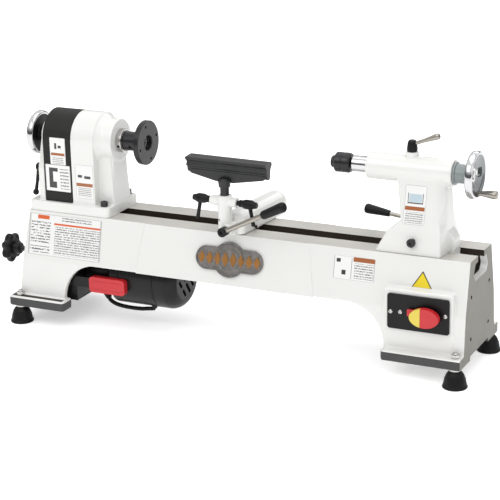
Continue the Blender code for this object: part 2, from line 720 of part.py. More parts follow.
def tailstock_casting(material, parent):
    """A column whose front and back lean in to the barrel, on a sole with a tongue in the ways."""
    rows = ((GAP, 648, 760, 50, 763, 17), (14, 656, 758.5, 47, 762.5, 17), (32, 666, 757, 42, 761.5, 18))
    rows += ((50, 686, 752, 36, 760.5, 18), (82, 680, 746, 27, 759, 16), (118, 673, 740, 19, 756, 12))
    loops = []
    for z, left, right, half, side, side_half in rows:
        front = [(left, 6 - half), (left + 3, -half), (right, -half), (side, -side_half)]
        back = [(x, -y) for x, y in reversed(front)]
        loops.append([world(x, y, z) for x, y in front + back])
    tail = loft("tailstock_casting", loops)
    tongue = SLOT_HALF - 0.4
    fuse(tail, box("tongue", (655, 772), (-tongue, tongue), (2 - WAY_THICK, 2)))
    heel = [(740, 1), (773, 1), (773, 20), (762, 36), (740, 36)]
    loops = [[world(x, y, z) for x, z in heel] for y in (-tongue, tongue)]
    fuse(tail, loft("heel", loops))
    x0, x1 = BARREL_X
    profile = [(x0, 0), (x0, BARREL_R - 2), (x0 + 2, BARREL_R), (x1, BARREL_R), (x1, 0)]
    fuse(tail, along_x("barrel", profile, 0, SWING, 32))
    fuse(tail, rod("boss", world(LOCK_X, 0, SWING + 4), world(LOCK_X, 0, 156), 11.0, 28))
    bore = [(600, 0), (600, QUILL_R + GAP), (740, QUILL_R + GAP), (740, 10), (780, 10), (780, 0)]
    cut(tail, along_x("bore", bore, 0, SWING))
    cut(tail, rod("lock_hole", world(LOCK_X, 0, SWING), world(LOCK_X, 0, 170), 4.3, 12))
    x, z = TAIL_CAM
    cut(tail, rod("cam_hole", world(x, -60, z), world(x, 60, z), 5.3, 16))
    cut(tail, box("clamp_pocket", (x - 14, x + 14), (-17, 17), (-20, 38)))
    return finish(tail, material, parent)


def tailstock_clamp(material, parent):
    """The draw bolt and the plate that it pulls up under the ways."""
    x, z = TAIL_CAM
    clamp = box("tailstock_clamp", (x - 17, x + 17), (-34, 34), (-26, -WAY_THICK - GAP))
    fuse(clamp, rod("shank", world(x, 0, -36), world(x, 0, z), 6, 16))
    fuse(clamp, rod("nut", world(x, 0, -35), world(x, 0, -25), 10.5, 6))
    fuse(clamp, rod("eye", world(x, -8, z), world(x, 8, z), 10, 24))
    cut(clamp, rod("eye_hole", world(x, -12, z), world(x, 12, z), 5.3, 16))
    return finish(clamp, material, parent)


def tailstock_cam_shaft(material, parent):
    x, z = TAIL_CAM
    profile = [(0, 0), (0, 6), (1.5, 7.2), (5, 7.2), (5, 5), (115, 5), (115, 0)]
    return finish(turned("tailstock_cam_shaft", profile, world(x, -55.5, z), world(x, 0, z), 20), material, parent)


TAIL_LEVER_Y = 60.0
TAIL_GRIP = (78.0, 123.0)


def tail_lever_point(distance):
    x, z = TAIL_CAM
    slope = math.atan(0.12)
    return world(x - distance * math.cos(slope), TAIL_LEVER_Y, z + distance * math.sin(slope))


def tailstock_lever(material, parent):
    x, z = TAIL_CAM
    lever = ring_y("tailstock_lever", x, z, (TAIL_LEVER_Y - 6, TAIL_LEVER_Y + 6), 9, 5.3)
    fuse(lever, rod("arm", tail_lever_point(7), tail_lever_point(TAIL_GRIP[1] - 8), 3.6, 12))
    return finish(lever, material, parent)


def ring_y(name, x, z, y, outer, inner):
    length = y[1] - y[0]
    profile = [(0, inner), (0, outer), (length, outer), (length, inner)]
    return turned(name, profile, world(x, y[0], z), world(x, y[1], z), 20)


def tailstock_lever_grip(material, parent):
    start, end = (tail_lever_point(d) for d in TAIL_GRIP)
    length = TAIL_GRIP[1] - TAIL_GRIP[0]
    grip = turned("tailstock_lever_grip", [(0, 0), (0, 5.5), (length - 4, 8.6), (length, 7), (length, 0)], start, end, 20)
    socket = [(-1, 0), (-1, 3.9), (length - 7.7, 3.9), (length - 7.7, 0)]
    cut(grip, turned("socket", socket, start, end, 12))
    return finish(grip, material, parent)


def quill(material, parent):
    profile = [(QUILL_NOSE + 3, 8), (QUILL_NOSE + 3, QUILL_R - 1), (QUILL_NOSE + 4, QUILL_R), (705, QUILL_R)]
    profile += [(705, 6.3), (645, 6.3), (645, 8)]
    return finish(along_x("quill", profile, 0, SWING), material, parent)


def live_centre_body(material, parent):
    profile = [(580, 0), (580, 6.3), (563.5, 6.3), (563.5, 15), (565, 16.5), (587, 16.5), (QUILL_NOSE, 14.5)]
    profile += [(QUILL_NOSE, 7.7), (630, 7.7), (630, 0)]
    return finish(along_x("live_centre_body", profile, 0, SWING), material, parent)


def live_centre_point(material, parent):
    profile = [(555, 0), (555, 5), (556.2, 8.8), (557.5, 10), (563.2, 10), (563.2, 6), (579.5, 6), (579.5, 0)]
    return finish(along_x("live_centre_point", profile, 0, SWING, 24), material, parent)


def quill_screw(material, parent):
    profile = [(655, 0), (655, 6), (742, 6), (742, 9.7), (776, 9.7), (776, 6), (798, 6), (798, 0)]
    return finish(along_x("quill_screw", profile, 0, SWING, 20), material, parent)


def handwheel_hub(material, parent):
    profile = [(766.4, 10), (766.4, 18.5), (769.5, 18.5), (770.3, 16), (791, 15), (791, 6.3), (776.3, 6.3), (776.3, 10)]
    return finish(along_x("handwheel_hub", profile, 0, SWING), material, parent)


def tailstock_handwheel(material, parent):
    """A dished wheel: three spokes' worth of web is left between its openings."""
    profile = [(791.3, 6.3), (791.3, 13), (794, 31), (792, 34), (793, 37.5), (796.5, WHEEL_R), (801.5, WHEEL_R)]
    profile += [(805.5, 37.5), (805.5, 34), (802, 31), (797, 13), (797, 6.3)]
    wheel = along_x("tailstock_handwheel", profile, 0, SWING, 32)
    for i in range(3):
        opening = prism("opening", rounded((-8, 8), (13, 28), 5, 3), "X", 786, 811)
        opening.data.transform(Matrix.Translation(Vector((0, 0, SWING * MM))))
        swing([opening], world(0, 0, SWING), "X", 150 + 120 * i)
        cut(wheel, opening)
    cut(wheel, rod("pin_hole", world(786, 0, HANDLE_Z), world(816, 0, HANDLE_Z), 2.8, 12))
    return finish(wheel, material, parent)


def handwheel_handle(material, parent):
    profile = [(797, 0), (797, 2.5), (806, 2.5), (806, 4.5), (811, 4.2), (820, 5.5), (834, 7.2), (HANDLE_END, 6)]
    profile += [(HANDLE_END, 0)]
    return finish(along_x("handwheel_handle", profile, 0, HANDLE_Z, 20), material, parent)


def quill_lock_lever(material, parent):
    profile = [(0, 0), (0, 4), (15.3, 4), (15.3, 8.5), (20, 8.8), (30, 7.5), (34, 5.5), (34, 0)]
    lever = turned("quill_lock_lever", profile, world(LOCK_X, 0, 141), world(LOCK_X, 0, 180), 24)
    arm = [(0, 0), (0, 2.8), (20, 3.2), (45, 5.4), (47, 4.6), (47, 0)]
    fuse(lever, turned("arm", arm, world(LOCK_X + 2, 0, 168.5), world(LOCK_X + 47, 0, 186), 16))
    return finish(lever, material, parent)


# ---------------------------------------------------------------- switch

def switch_plate(material, parent):
    plate = prism("switch_plate", rounded((684, 788), (-115.5, -57), 4, 2), "Y", -83.5, -79.8)
    fuse(plate, box("switch_body", (692, 779), (-80.5, -63), (-108, -64)))
    x, z = PADDLE
    cut(plate, box("rocker_slot", (x - 17, x + 17), (-95, -70), (z - 12, z + 12)))
    return finish(plate, material, parent)


def ellipse(x, z, rx, rz, count=28):
    return arc((x, z), (rx, rz), 0, 360 - 360 / count, count - 1)


def switch_paddle(material, parent):
    x, z = PADDLE
    paddle = prism("switch_paddle", ellipse(x, z, 24.5, 15.8), "Y", -98, -88.5)
    fuse(paddle, box("tab", (x - 30, x - 12), (-91.2, -88), (z - 1, z + 10)))
    fuse(paddle, box("rocker", (x - 9, x + 9), (-90, -75), (z - 10, z + 10)))
    cut(paddle, box("key_seat", (x - 40, x - 6), (-100, -91.5), (z - 30, z + 30)))
    cut(paddle, box("key_slot", (x - 16.3, x - 9.7), (-93, -89.6), (z - 5.3, z + 5.3)))
    return finish(paddle, material, parent)


def switch_key(material, parent):
    x, z = PADDLE
    key = prism("switch_key", ellipse(x, z, 24.5, 15.8), "Y", -98, -91.8)
    cut(key, box("far_side", (x - 6.4, x + 40), (-100, -80), (z - 30, z + 30)))
    fuse(key, box("blade", (x - 16, x - 10), (-93, -89.9), (z - 5, z + 5)))
    return finish(key, material, parent)


# ---------------------------------------------------------------- assembly

def clear_scene():
    for obj in list(bpy.data.objects):
        bpy.data.objects.remove(obj, do_unlink=True)


def build_bed(paints):
    root = body("root", world(X_MID, 0, FLOOR))
    bed_casting(paints["white"], root)
    for i, (x, y) in enumerate((x, y) for x in FOOT_X for y in (-FOOT_Y, FOOT_Y)):
        foot(f"foot_{i + 1}", x, y, paints["rubber"], root)
        foot_stud(f"foot_stud_{i + 1}", x, y, paints["steel"], root)
    nameplate(paints["bronze"], root)
    y, z = MOTOR_PIVOT
    pin = rod("motor_pivot_pin", world(-8, y, z), world(100, y, z), 5, 16)
    finish(pin, paints["steel"], root)
    switch_plate(paints["black"], root)
    return root


def build_headstock(paints, root):
    headstock_casting(paints["white"], root)
    headstock_screw("headstock_screw_front", -42, paints["black"], root)
    headstock_screw("headstock_screw_rear", 42, paints["black"], root)
    finish(ring("front_bearing", (138, 151.7), 31, 17.8, 0, SWING), paints["steel"], root)
    finish(ring("rear_bearing", (18, 28), 20, 12.3, 0, SWING), paints["steel"], root)
    drive_belt(paints["rubber"], root)
    y, z = COVER_HINGE
    finish(rod("cover_hinge_pin", world(36, y, z), world(76, y, z), 2.5, 12), paints["steel"], root)
    line = body("spindle_axis", world(0, 0, SWING))
    spindle(paints["steel"], line)
    stepped_pulley("spindle_pulley", (36, BELT_R, 24), 14.3, SWING, paints["aluminium"], line)
    outboard_handwheel(paints["chrome"], line)
    finish(ring("spindle_collar", (NOSE_FACE + GAP, 171), 20.8, 17.8, 0, SWING), paints["steel"], line)
    faceplate(paints["black"], line)
    belt_cover(paints["black"], body("cover_axis", world(0, y, z)))
    headstock_lever(paints["black"], body("headstock_lever_axis", world(0, -30, 73)))
    lock_knob(paints["black"], body("knob_axis", world(0, *KNOB)))


def build_motor(paints):
    cradle = body("motor_axis", world(0, *MOTOR_PIVOT))
    motor_bracket(paints["black"], cradle)
    motor_housing(paints["black"], cradle)
    fan_cover(paints["grey"], cradle)
    tension_grip(paints["red"], cradle)
    lead_gland(paints["rubber"], cradle)
    motor_lead(paints["rubber"], cradle)
    rotor = body("rotor_axis", world(0, 0, MOTOR_Z))
    shaft = rod("rotor_shaft", world(28, 0, MOTOR_Z), world(262, 0, MOTOR_Z), 7, 20)
    finish(shaft, paints["steel"], rotor)
    stepped_pulley("motor_pulley", (24, BELT_R, 36), 7.3, MOTOR_Z, paints["aluminium"], rotor)
    cooling_fan(paints["black"], rotor)


def build_tool_rest(paints):
    middle = world(BANJO_X, 0, 0)
    banjo_clamp_plate(paints["iron"], body("carriage_axis", middle))
    banjo_clamp_bolt(paints["steel"], body("swivel_axis", middle))
    banjo(paints["white"], body("reach_axis", middle))
    lock = body("banjo_lock_axis", world(BANJO_X, 0, CAM_Z))
    banjo_lever(paints["steel"], lock)
    banjo_lever_grip(paints["black"], lock)
    column = column_point(LEVER_Z)
    post_lever("post_lever", -1, paints["black"], body("post_lever_axis", column))
    post_lever("swivel_lever", 1, paints["black"], body("swivel_lever_axis", column))
    tool_rest_post(paints["black"], body("post_axis", column))
    tool_rest(paints["black"], body("rest_axis", column))


def build_tailstock(paints):
    x, z = TAIL_CAM
    tail = body("tailstock_origin", world(x, 0, 0))
    tailstock_casting(paints["white"], tail)
    tailstock_clamp(paints["iron"], tail)
    lock = body("tailstock_lock_axis", world(x, 0, z))
    tailstock_cam_shaft(paints["black"], lock)
    tailstock_lever(paints["chrome"], lock)
    tailstock_lever_grip(paints["black"], lock)
    line = body("quill_axis", world(QUILL_NOSE, 0, SWING))
    quill(paints["chrome"], line)
    live_centre_body(paints["black"], line)
    live_centre_point(paints["steel"], body("centre_axis", world(563.5, 0, SWING)))
    wheel = body("handwheel_axis", world(791, 0, SWING))
    quill_screw(paints["steel"], wheel)
    handwheel_hub(paints["grey"], wheel)
    tailstock_handwheel(paints["chrome"], wheel)
    handwheel_handle(paints["chrome"], body("handle_axis", world(806, 0, HANDLE_Z)))
    quill_lock_lever(paints["black"], body("quill_lock_axis", world(LOCK_X, 0, 156)))


def build_switch(paints):
    x, z = PADDLE
    switch_paddle(paints["red"], body("paddle_axis", world(x, -78, z)))
    switch_key(paints["yellow"], body("key_origin", world(x - 13, -91, z)))


def main():
    clear_scene()
    paints = {
        "white": paint("white_paint", (0.78, 0.78, 0.76), 0.35),
        "black": paint("black_finish", (0.02, 0.02, 0.02), 0.45),
        "grey": paint("grey_finish", (0.2, 0.22, 0.22), 0.45),
        "red": paint("red_plastic", (0.6, 0.03, 0.04), 0.4),
        "yellow": paint("yellow_plastic", (0.75, 0.55, 0.08), 0.4),
        "rubber": paint("black_rubber", (0.015, 0.015, 0.015), 0.7),
        "steel": paint("bright_steel", (0.6, 0.6, 0.58), 0.3, 1.0),
        "chrome": paint("chrome", (0.8, 0.8, 0.8), 0.1, 1.0),
        "aluminium": paint("aluminium", (0.7, 0.7, 0.72), 0.35, 1.0),
        "iron": paint("cast_iron", (0.3, 0.29, 0.27), 0.5, 1.0),
        "bronze": paint("bronze", (0.35, 0.25, 0.15), 0.45, 0.8),
    }
    root = build_bed(paints)
    build_headstock(paints, root)
    build_motor(paints)
    build_tool_rest(paints)
    build_tailstock(paints)
    build_switch(paints)


main()
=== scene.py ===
"""The looks of a benchtop wood lathe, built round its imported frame.

Lengths are millimetres in the bed's own frame: X runs along the bed from the headstock end, Y runs
from the operator to the back with 0 on the spindle's axis, and Z is 0 on top of the ways.
"""

import json
import math

import bmesh
import bpy
from mathutils import Matrix, Quaternion, Vector

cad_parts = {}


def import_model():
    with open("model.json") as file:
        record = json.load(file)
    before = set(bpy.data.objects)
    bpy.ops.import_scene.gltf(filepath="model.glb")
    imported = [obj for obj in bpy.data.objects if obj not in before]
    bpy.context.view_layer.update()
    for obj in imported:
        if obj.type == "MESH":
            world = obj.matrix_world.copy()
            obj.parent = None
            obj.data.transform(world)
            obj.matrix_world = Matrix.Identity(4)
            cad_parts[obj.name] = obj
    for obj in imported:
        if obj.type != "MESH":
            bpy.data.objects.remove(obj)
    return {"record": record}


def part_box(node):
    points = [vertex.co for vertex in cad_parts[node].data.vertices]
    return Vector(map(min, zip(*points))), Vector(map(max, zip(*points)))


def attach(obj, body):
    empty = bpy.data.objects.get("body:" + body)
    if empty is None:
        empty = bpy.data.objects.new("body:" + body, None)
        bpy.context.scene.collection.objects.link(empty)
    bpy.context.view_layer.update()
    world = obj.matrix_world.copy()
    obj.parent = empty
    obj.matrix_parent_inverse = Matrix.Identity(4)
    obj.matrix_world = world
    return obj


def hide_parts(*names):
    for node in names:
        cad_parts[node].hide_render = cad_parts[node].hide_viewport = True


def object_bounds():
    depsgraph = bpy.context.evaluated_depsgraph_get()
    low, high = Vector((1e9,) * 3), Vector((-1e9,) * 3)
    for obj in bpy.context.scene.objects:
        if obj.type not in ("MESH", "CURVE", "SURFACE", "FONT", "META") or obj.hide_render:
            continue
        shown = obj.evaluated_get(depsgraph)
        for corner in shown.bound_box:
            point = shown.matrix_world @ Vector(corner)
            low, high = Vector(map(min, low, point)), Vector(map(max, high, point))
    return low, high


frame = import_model()
CAD_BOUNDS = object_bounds()

MM = 0.001
BODY_OF = {node: body for body, nodes in frame["record"]["behaviour"]["bodies"].items() for node in nodes}
BED_LOW, BED_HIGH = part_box("bed_casting")
FLOOR_Z = CAD_BOUNDS[0][2]

# Bed
FLANGE_LEFT = (-26.0, 86.0)
FLANGE_RIGHT = (677.0, 812.0)
FLANGE_HALF = 99.0
FLANGE_LOW = -167.0
FLANGE_TOP = -150.0
BED_LENGTH = 812.0
BED_TOP_HALF = 54.0
BED_SKIRT_HALF = 73.0
BED_SKIRT_LOW = -85.0
BED_LEG_HALF = 79.0
BED_WALL = 9.0
END_WALL = 12.0
END_HOLES = ((-45.6, -60), (45.6, -60), (-45, -131), (45, -131))
CHANNEL_LEFT = 10.0
END_DRAFT = 0.095
WAY_THICK = 14.0
PANEL_PROUD = 2.0
SLOT_HALF = 15.8
LEG_LEFT_END = 77.0
LEG_RIGHT_START = 676.0

# Feet
FLOOR = -198.5
FOOT_X = (-7.4, 800.8)
FOOT_Y = 87.3
FOOT_R = 20.4
STUD_R = 4.0

# Spindle line
SWING = 127.0
FACEPLATE_R = 38.5
FACEPLATE_FACE = 214.7
NOSE_FACE = 161.0
NOSE_R = 37.0
HEAD_END = 160.0
HEAD_FLOOR = 18.0
COVER_X = (31.0, 86.0)
COVER_R = 47.0
COVER_WALL = 3.0
COVER_HINGE = (51.5, 106.0)

# Drive
MOTOR_Z = -111.0
MOTOR_R = 55.0
MOTOR_X = (150.0, 240.0)
FAN_FACE = 281.0
BELT_R = 30.0
MOTOR_PIVOT = (56.0, -118.0)
PULLEY_X = 32.5

# Tool rest
BANJO_X = 403.0
BANJO_TILT = -5.0
BANJO_REAR = 87.1
COLUMN = (396.5, -66.0)
COLUMN_TOP = 70.0
CAM_Z = 12.0
LEVER_Z = 59.0
REST_TOP = 129.5
REST_X = (320.0, 469.0)
REST_SKEW = -1.9

# Tailstock
TAIL_CAM = (712.0, 20.0)
TAIL_ROWS = ((0.3, 648, 760, 50, 763, 17), (14, 656, 758.5, 47, 762.5, 17), (32, 666, 757, 42, 761.5, 18),
             (50, 686, 752, 36, 760.5, 18), (82, 680, 746, 27, 759, 16), (118, 673, 740, 19, 756, 12))
BARREL_X = (621.0, 766.0)
BARREL_R = 21.8
QUILL_R = 13.5
QUILL_NOSE = 590.6
LOCK_X = 694.0
WHEEL_R = 39.0
HANDLE_END = 837.0
HANDLE_Z = 98.0
TAIL_LEVER_Y = 60.0
TAIL_GRIP = (78.0, 123.0)

# Switch and left-hand knob
PADDLE = (750.5, -87.5)
KNOB = (-40.0, -80.0)
KNOB_X = (-62.0, -44.0)
KNOB_R = 27.0

# the camera leans a little to its left
ROLL = -1.23


# ---------------------------------------------------------------- shapes

def world(x, y, z):
    """A point of the bed's frame, in world metres."""
    return Vector((BED_LOW.x + (x - FLANGE_LEFT[0]) * MM, y * MM, BED_HIGH.z + z * MM))


def local(point):
    """A world point in the bed's frame."""
    x = (point.x - BED_LOW.x) / MM + FLANGE_LEFT[0]
    return Vector((x, point.y / MM, (point.z - BED_HIGH.z) / MM))


def on_axis(axis, along, a, b):
    """A point at this place along an axis, with a and b on the other two axes in order."""
    return {"X": world(along, a, b), "Y": world(a, along, b), "Z": world(a, b, along)}[axis]


def soften(points, radius, closed=True, count=3):
    """Rounds the corners of an outline, each by no more than its shorter side allows."""
    points = [Vector(p) for p in points]
    total = len(points)
    found = []
    for i, point in enumerate(points):
        if not closed and i in (0, total - 1):
            found.append(tuple(point))
            continue
        back = points[i - 1] - point
        ahead = points[(i + 1) % total] - point
        if back.length < 1e-6 or ahead.length < 1e-6 or math.pi - back.angle(ahead) < 0.2:
            found.append(tuple(point))
            continue
        reach = min(radius, 0.45 * back.length, 0.45 * ahead.length)
        start = point + back.normalized() * reach
        end = point + ahead.normalized() * reach
        for k in range(count + 1):
            t = k / count
            found.append(tuple(start * (1 - t) ** 2 + point * (2 * t * (1 - t)) + end * t ** 2))
    return found


def made(name, bm):
    bmesh.ops.remove_doubles(bm, verts=bm.verts, dist=0.000005)
    bmesh.ops.recalc_face_normals(bm, faces=bm.faces)
    mesh = bpy.data.meshes.new(name)
    bm.to_mesh(mesh)
    bm.free()
    obj = bpy.data.objects.new(name, mesh)
    bpy.context.scene.collection.objects.link(obj)
    return obj


def loft(name, loops):
    """A closed solid through loops of equally many points."""
    bm = bmesh.new()
    rows = [[bm.verts.new(point) for point in loop] for loop in loops]
    bm.faces.new(rows[0])
    bm.faces.new(rows[-1])
    for low, high in zip(rows, rows[1:]):
        for i in range(len(low)):
            j = (i + 1) % len(low)
            bm.faces.new((low[i], low[j], high[j], high[i]))
    return made(name, bm)


def prism(name, outline, axis, low, high):
    loops = [[on_axis(axis, along, a, b) for a, b in outline] for along in (low, high)]
    return loft(name, loops)


def box(name, x, y, z):
    outline = [(x[0], y[0]), (x[1], y[0]), (x[1], y[1]), (x[0], y[1])]
    return prism(name, outline, "Z", z[0], z[1])


def turned(name, profile, base, towards, steps=72, soft=0.4):
    """A profile of (along, radius) spun round the line from base towards another point, corners eased.

    A profile that starts and ends at radius 0 is closed by flat faces, any other by its own loop.
    """
    along = (towards - base).normalized()
    across = along.orthogonal().normalized()
    beside = along.cross(across)
    turns = [math.tau * i / steps for i in range(steps)]
    spokes = [across * math.cos(t) + beside * math.sin(t) for t in turns]
    hollow = profile[0][1] > 0
    if soft:
        profile = soften(profile, soft, closed=hollow)
    bm = bmesh.new()
    rows = []
    for a, r in profile:
        if r > 0:
            rows.append([bm.verts.new(base + along * (a * MM) + spoke * (r * MM)) for spoke in spokes])
    pairs = list(zip(rows, rows[1:]))
    if hollow:
        pairs.append((rows[-1], rows[0]))
    else:
        bm.faces.new(rows[0])
        bm.faces.new(rows[-1])
    for low, high in pairs:
        for i in range(steps):
            j = (i + 1) % steps
            bm.faces.new((low[i], low[j], high[j], high[i]))
    return made(name, bm)


def along_x(name, profile, y, z, steps=72, soft=0.4):
    """A profile of (x, radius) spun round a line along X."""
    return turned(name, profile, world(0, y, z), world(1, y, z), steps, soft)


def rod(name, start, end, radius, steps=48, soft=0.0):
    length = (end - start).length / MM
    return turned(name, [(0, 0), (0, radius), (length, radius), (length, 0)], start, end, steps, soft)


def ring(name, x, outer, inner, y, z, steps=72, soft=0.5):
    return along_x(name, [(x[0], inner), (x[0], outer), (x[1], outer), (x[1], inner)], y, z, steps, soft)


def arc(centre, radii, start, end, count):
    """Points on an ellipse's arc, from one angle in degrees to another."""
    angles = [math.radians(start + (end - start) * i / count) for i in range(count + 1)]
    return [(centre[0] + radii[0] * math.cos(t), centre[1] + radii[1] * math.sin(t)) for t in angles]


def rounded(x, z, radius, count=8):
    """A rectangle's outline with round corners."""
    corners = ((x[1], z[1], 0), (x[0], z[1], 90), (x[0], z[0], 180), (x[1], z[0], 270))
    points = []
    for cx, cz, turn in corners:
        mid = (cx - math.copysign(radius, cx - sum(x) / 2), cz - math.copysign(radius, cz - sum(z) / 2))
        points += arc(mid, (radius, radius), turn, turn + 90, count)
    return points


def boolean(target, other, operation):
    step = target.modifiers.new(operation.title(), "BOOLEAN")
    step.operation = operation
    step.solver = "MANIFOLD"
    step.object = other


def fuse(target, *others):
    for other in others:
        boolean(target, other, "UNION")


def cut(target, *others):
    for other in others:
        boolean(target, other, "DIFFERENCE")


def cast(target, voxel, passes):
    """Runs the pieces of a casting together, with a soft fillet in each corner and on each edge."""
    skin = target.modifiers.new("Skin", "REMESH")
    skin.mode = "VOXEL"
    skin.voxel_size = voxel * MM
    ease = target.modifiers.new("Ease", "SMOOTH")
    ease.factor = 0.5
    ease.iterations = passes


def swing(objects, pivot, axis, degrees):
    """Turns the meshes of some objects about a point, in place."""
    turn = Matrix.Translation(pivot) @ Matrix.Rotation(math.radians(degrees), 4, axis)
    for obj in objects:
        obj.data.transform(turn @ Matrix.Translation(-pivot))


def settle(obj, flat=0.8):
    """Works out an object's modifiers into a plain mesh, and removes the tools that they used."""
    tools = [step.object for step in obj.modifiers if step.type == "BOOLEAN"]
    if not obj.modifiers:
        return
    bpy.context.view_layer.update()
    deps = bpy.context.evaluated_depsgraph_get()
    mesh = bpy.data.meshes.new_from_object(obj.evaluated_get(deps))
    obj.modifiers.clear()
    obj.data = mesh
    for tool in tools:
        bpy.data.objects.remove(tool)
    bm = bmesh.new()
    bm.from_mesh(mesh)
    bmesh.ops.remove_doubles(bm, verts=bm.verts, dist=0.00001)
    bmesh.ops.dissolve_limit(bm, angle_limit=math.radians(flat), verts=bm.verts, edges=bm.edges)
    bm.to_mesh(mesh)
    bm.free()


def show(obj, node, paint, bevel=0.0, tints=(), body=None, sharp=35):
    """Finishes a piece that stands for a CAD node, or with a body named, a small part on that body.

    tints are (material, test) pairs: a face takes the first one whose test of its middle and its
    normal holds, and the piece's own paint if none does.
    """
    settle(obj)
    mesh = obj.data
    mesh.materials.clear()
    for material in (paint, *(tint for tint, test in tints)):
        mesh.materials.append(material)
    for face in mesh.polygons:
        middle = local(face.center)
        fits = (i + 1 for i, (tint, test) in enumerate(tints) if test(middle, face.normal))
        face.material_index = next(fits, 0)
    mesh.shade_smooth()
    if bevel:
        edge = obj.modifiers.new("Edge", "BEVEL")
        edge.width = bevel * MM
        edge.segments = 3
        edge.limit_method = "ANGLE"
        edge.angle_limit = math.radians(30)
        edge.use_clamp_overlap = True
        normals = obj.modifiers.new("Normals", "WEIGHTED_NORMAL")
        normals.keep_sharp = False
    else:
        mesh.set_sharp_from_angle(angle=math.radians(sharp))
        normals = obj.modifiers.new("Normals", "WEIGHTED_NORMAL")
        normals.keep_sharp = True
    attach(obj, body or BODY_OF[node])
    if body is None:
        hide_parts(node)
    return obj


# ---------------------------------------------------------------- materials

def add(tree, kind, **settings):
    node = tree.nodes.new("ShaderNode" + kind)
    for key, value in settings.items():
        setattr(node, key, value)
    return node


def noise(tree, coords, scale, detail=3.0, stretch=(1, 1, 1)):
    """A noise texture in the piece's own space, in features per metre, stretched along its axes."""
    mapping = add(tree, "Mapping")
    mapping.inputs["Scale"].default_value = stretch
    tree.links.new(coords, mapping.inputs["Vector"])
    texture = add(tree, "TexNoise")
    texture.inputs["Scale"].default_value = scale
    texture.inputs["Detail"].default_value = detail
    tree.links.new(mapping.outputs["Vector"], texture.inputs["Vector"])
    return texture.outputs["Fac"]


def spread(tree, source, low, high):
    """Maps a noise to a range."""
    ranged = add(tree, "MapRange")
    ranged.inputs["From Min"].default_value = 0.3
    ranged.inputs["From Max"].default_value = 0.7
    ranged.inputs["To Min"].default_value = low
    ranged.inputs["To Max"].default_value = high
    tree.links.new(source, ranged.inputs["Value"])
    return ranged.outputs["Result"]


def ramp(tree, source, stops):
    """Colours by a value: stops are (place, colour)."""
    node = add(tree, "ValToRGB")
    band = node.color_ramp
    while len(band.elements) < len(stops):
        band.elements.new(0.5)
    for element, (place, colour) in zip(band.elements, stops):
        element.position = place
        element.color = (*colour, 1)
    tree.links.new(source, node.inputs["Fac"])
    return node.outputs["Color"]


def blank(name, slot, metallic=0.0, coat=0.0, specular=0.5):
    material = bpy.data.materials.new(name)
    material.use_nodes = True
    material["slot"] = slot
    shader = material.node_tree.nodes["Principled BSDF"]
    shader.inputs["Metallic"].default_value = metallic
    shader.inputs["Coat Weight"].default_value = coat
    shader.inputs["Coat Roughness"].default_value = 0.12
    shader.inputs["Specular IOR Level"].default_value = specular
    return material, material.node_tree, shader


def surface(name, slot, colour, rough, metallic=0.0, coat=0.0, vary=0.06, patch=14, grain=900,
            bump=0.04, depth=0.2, stretch=(1, 1, 1), swell=0.0):
    """A finish: patches of slightly different colour and gloss over a fine grain, with an optional swell."""
    material, tree, shader = blank(name, slot, metallic, coat,
                                   0.5 if max(colour) > 0.1 or metallic else 0.2)
    coords = add(tree, "TexCoord").outputs["Object"]
    broad = noise(tree, coords, patch, 4.0)
    fine = noise(tree, coords, grain, 3.0, stretch)
    dark = tuple(c * (1 - vary) for c in colour)
    light = tuple(min(1.0, c * (1 + vary)) for c in colour)
    blend = add(tree, "MixRGB")
    blend.inputs["Fac"].default_value = 0.5
    tree.links.new(broad, blend.inputs["Color1"])
    tree.links.new(fine, blend.inputs["Color2"])
    tree.links.new(ramp(tree, blend.outputs["Color"], ((0.35, dark), (0.65, light))),
                   shader.inputs["Base Color"])
    tree.links.new(spread(tree, fine, max(0.02, rough * 0.85), rough * 1.15), shader.inputs["Roughness"])
    relief = add(tree, "Bump")
    relief.inputs["Strength"].default_value = bump
    relief.inputs["Distance"].default_value = depth * MM
    tree.links.new(fine, relief.inputs["Height"])
    if swell:
        wave = add(tree, "Bump")
        wave.inputs["Strength"].default_value = swell
        wave.inputs["Distance"].default_value = 0.6 * MM
        tree.links.new(noise(tree, coords, 110, 2.0), wave.inputs["Height"])
        tree.links.new(wave.outputs["Normal"], relief.inputs["Normal"])
    tree.links.new(relief.outputs["Normal"], shader.inputs["Normal"])
    return material


def window(tree, axes, x, z):
    """1 inside a rectangle of a label's own coordinates, 0 outside."""
    mask = None
    for axis, (low, high) in ((axes["X"], x), (axes["Z"], z)):
        for operation, limit in (("GREATER_THAN", low), ("LESS_THAN", high)):
            test = add(tree, "Math", operation=operation)
            test.inputs[1].default_value = limit
            tree.links.new(axis, test.inputs[0])
            mask = both(tree, mask, test.outputs[0])
    return mask


def both(tree, a, b):
    if a is None:
        return b
    product = add(tree, "Math", operation="MULTIPLY")
    tree.links.new(a, product.inputs[0])
    tree.links.new(b, product.inputs[1])
    return product.outputs[0]


def written(tree, axes, coords, x, z, rows):
    """Broken rules like lines of small print, inside a rectangle."""
    step = add(tree, "Math", operation="MULTIPLY")
    step.inputs[1].default_value = rows / (z[1] - z[0])
    tree.links.new(axes["Z"], step.inputs[0])
    part = add(tree, "Math", operation="FRACT")
    tree.links.new(step.outputs[0], part.inputs[0])
    rule = add(tree, "Math", operation="GREATER_THAN")
    rule.inputs[1].default_value = 0.52
    tree.links.new(part.outputs[0], rule.inputs[0])
    words = add(tree, "Math", operation="GREATER_THAN")
    words.inputs[1].default_value = 0.43
    grain = noise(tree, coords, 1.0, 0.0, (90 * (x[1] - x[0]) / 0.6, 1, 2.1 * rows / (z[1] - z[0])))
    tree.links.new(grain, words.inputs[0])
    return both(tree, window(tree, axes, x, z), both(tree, rule.outputs[0], words.outputs[0]))


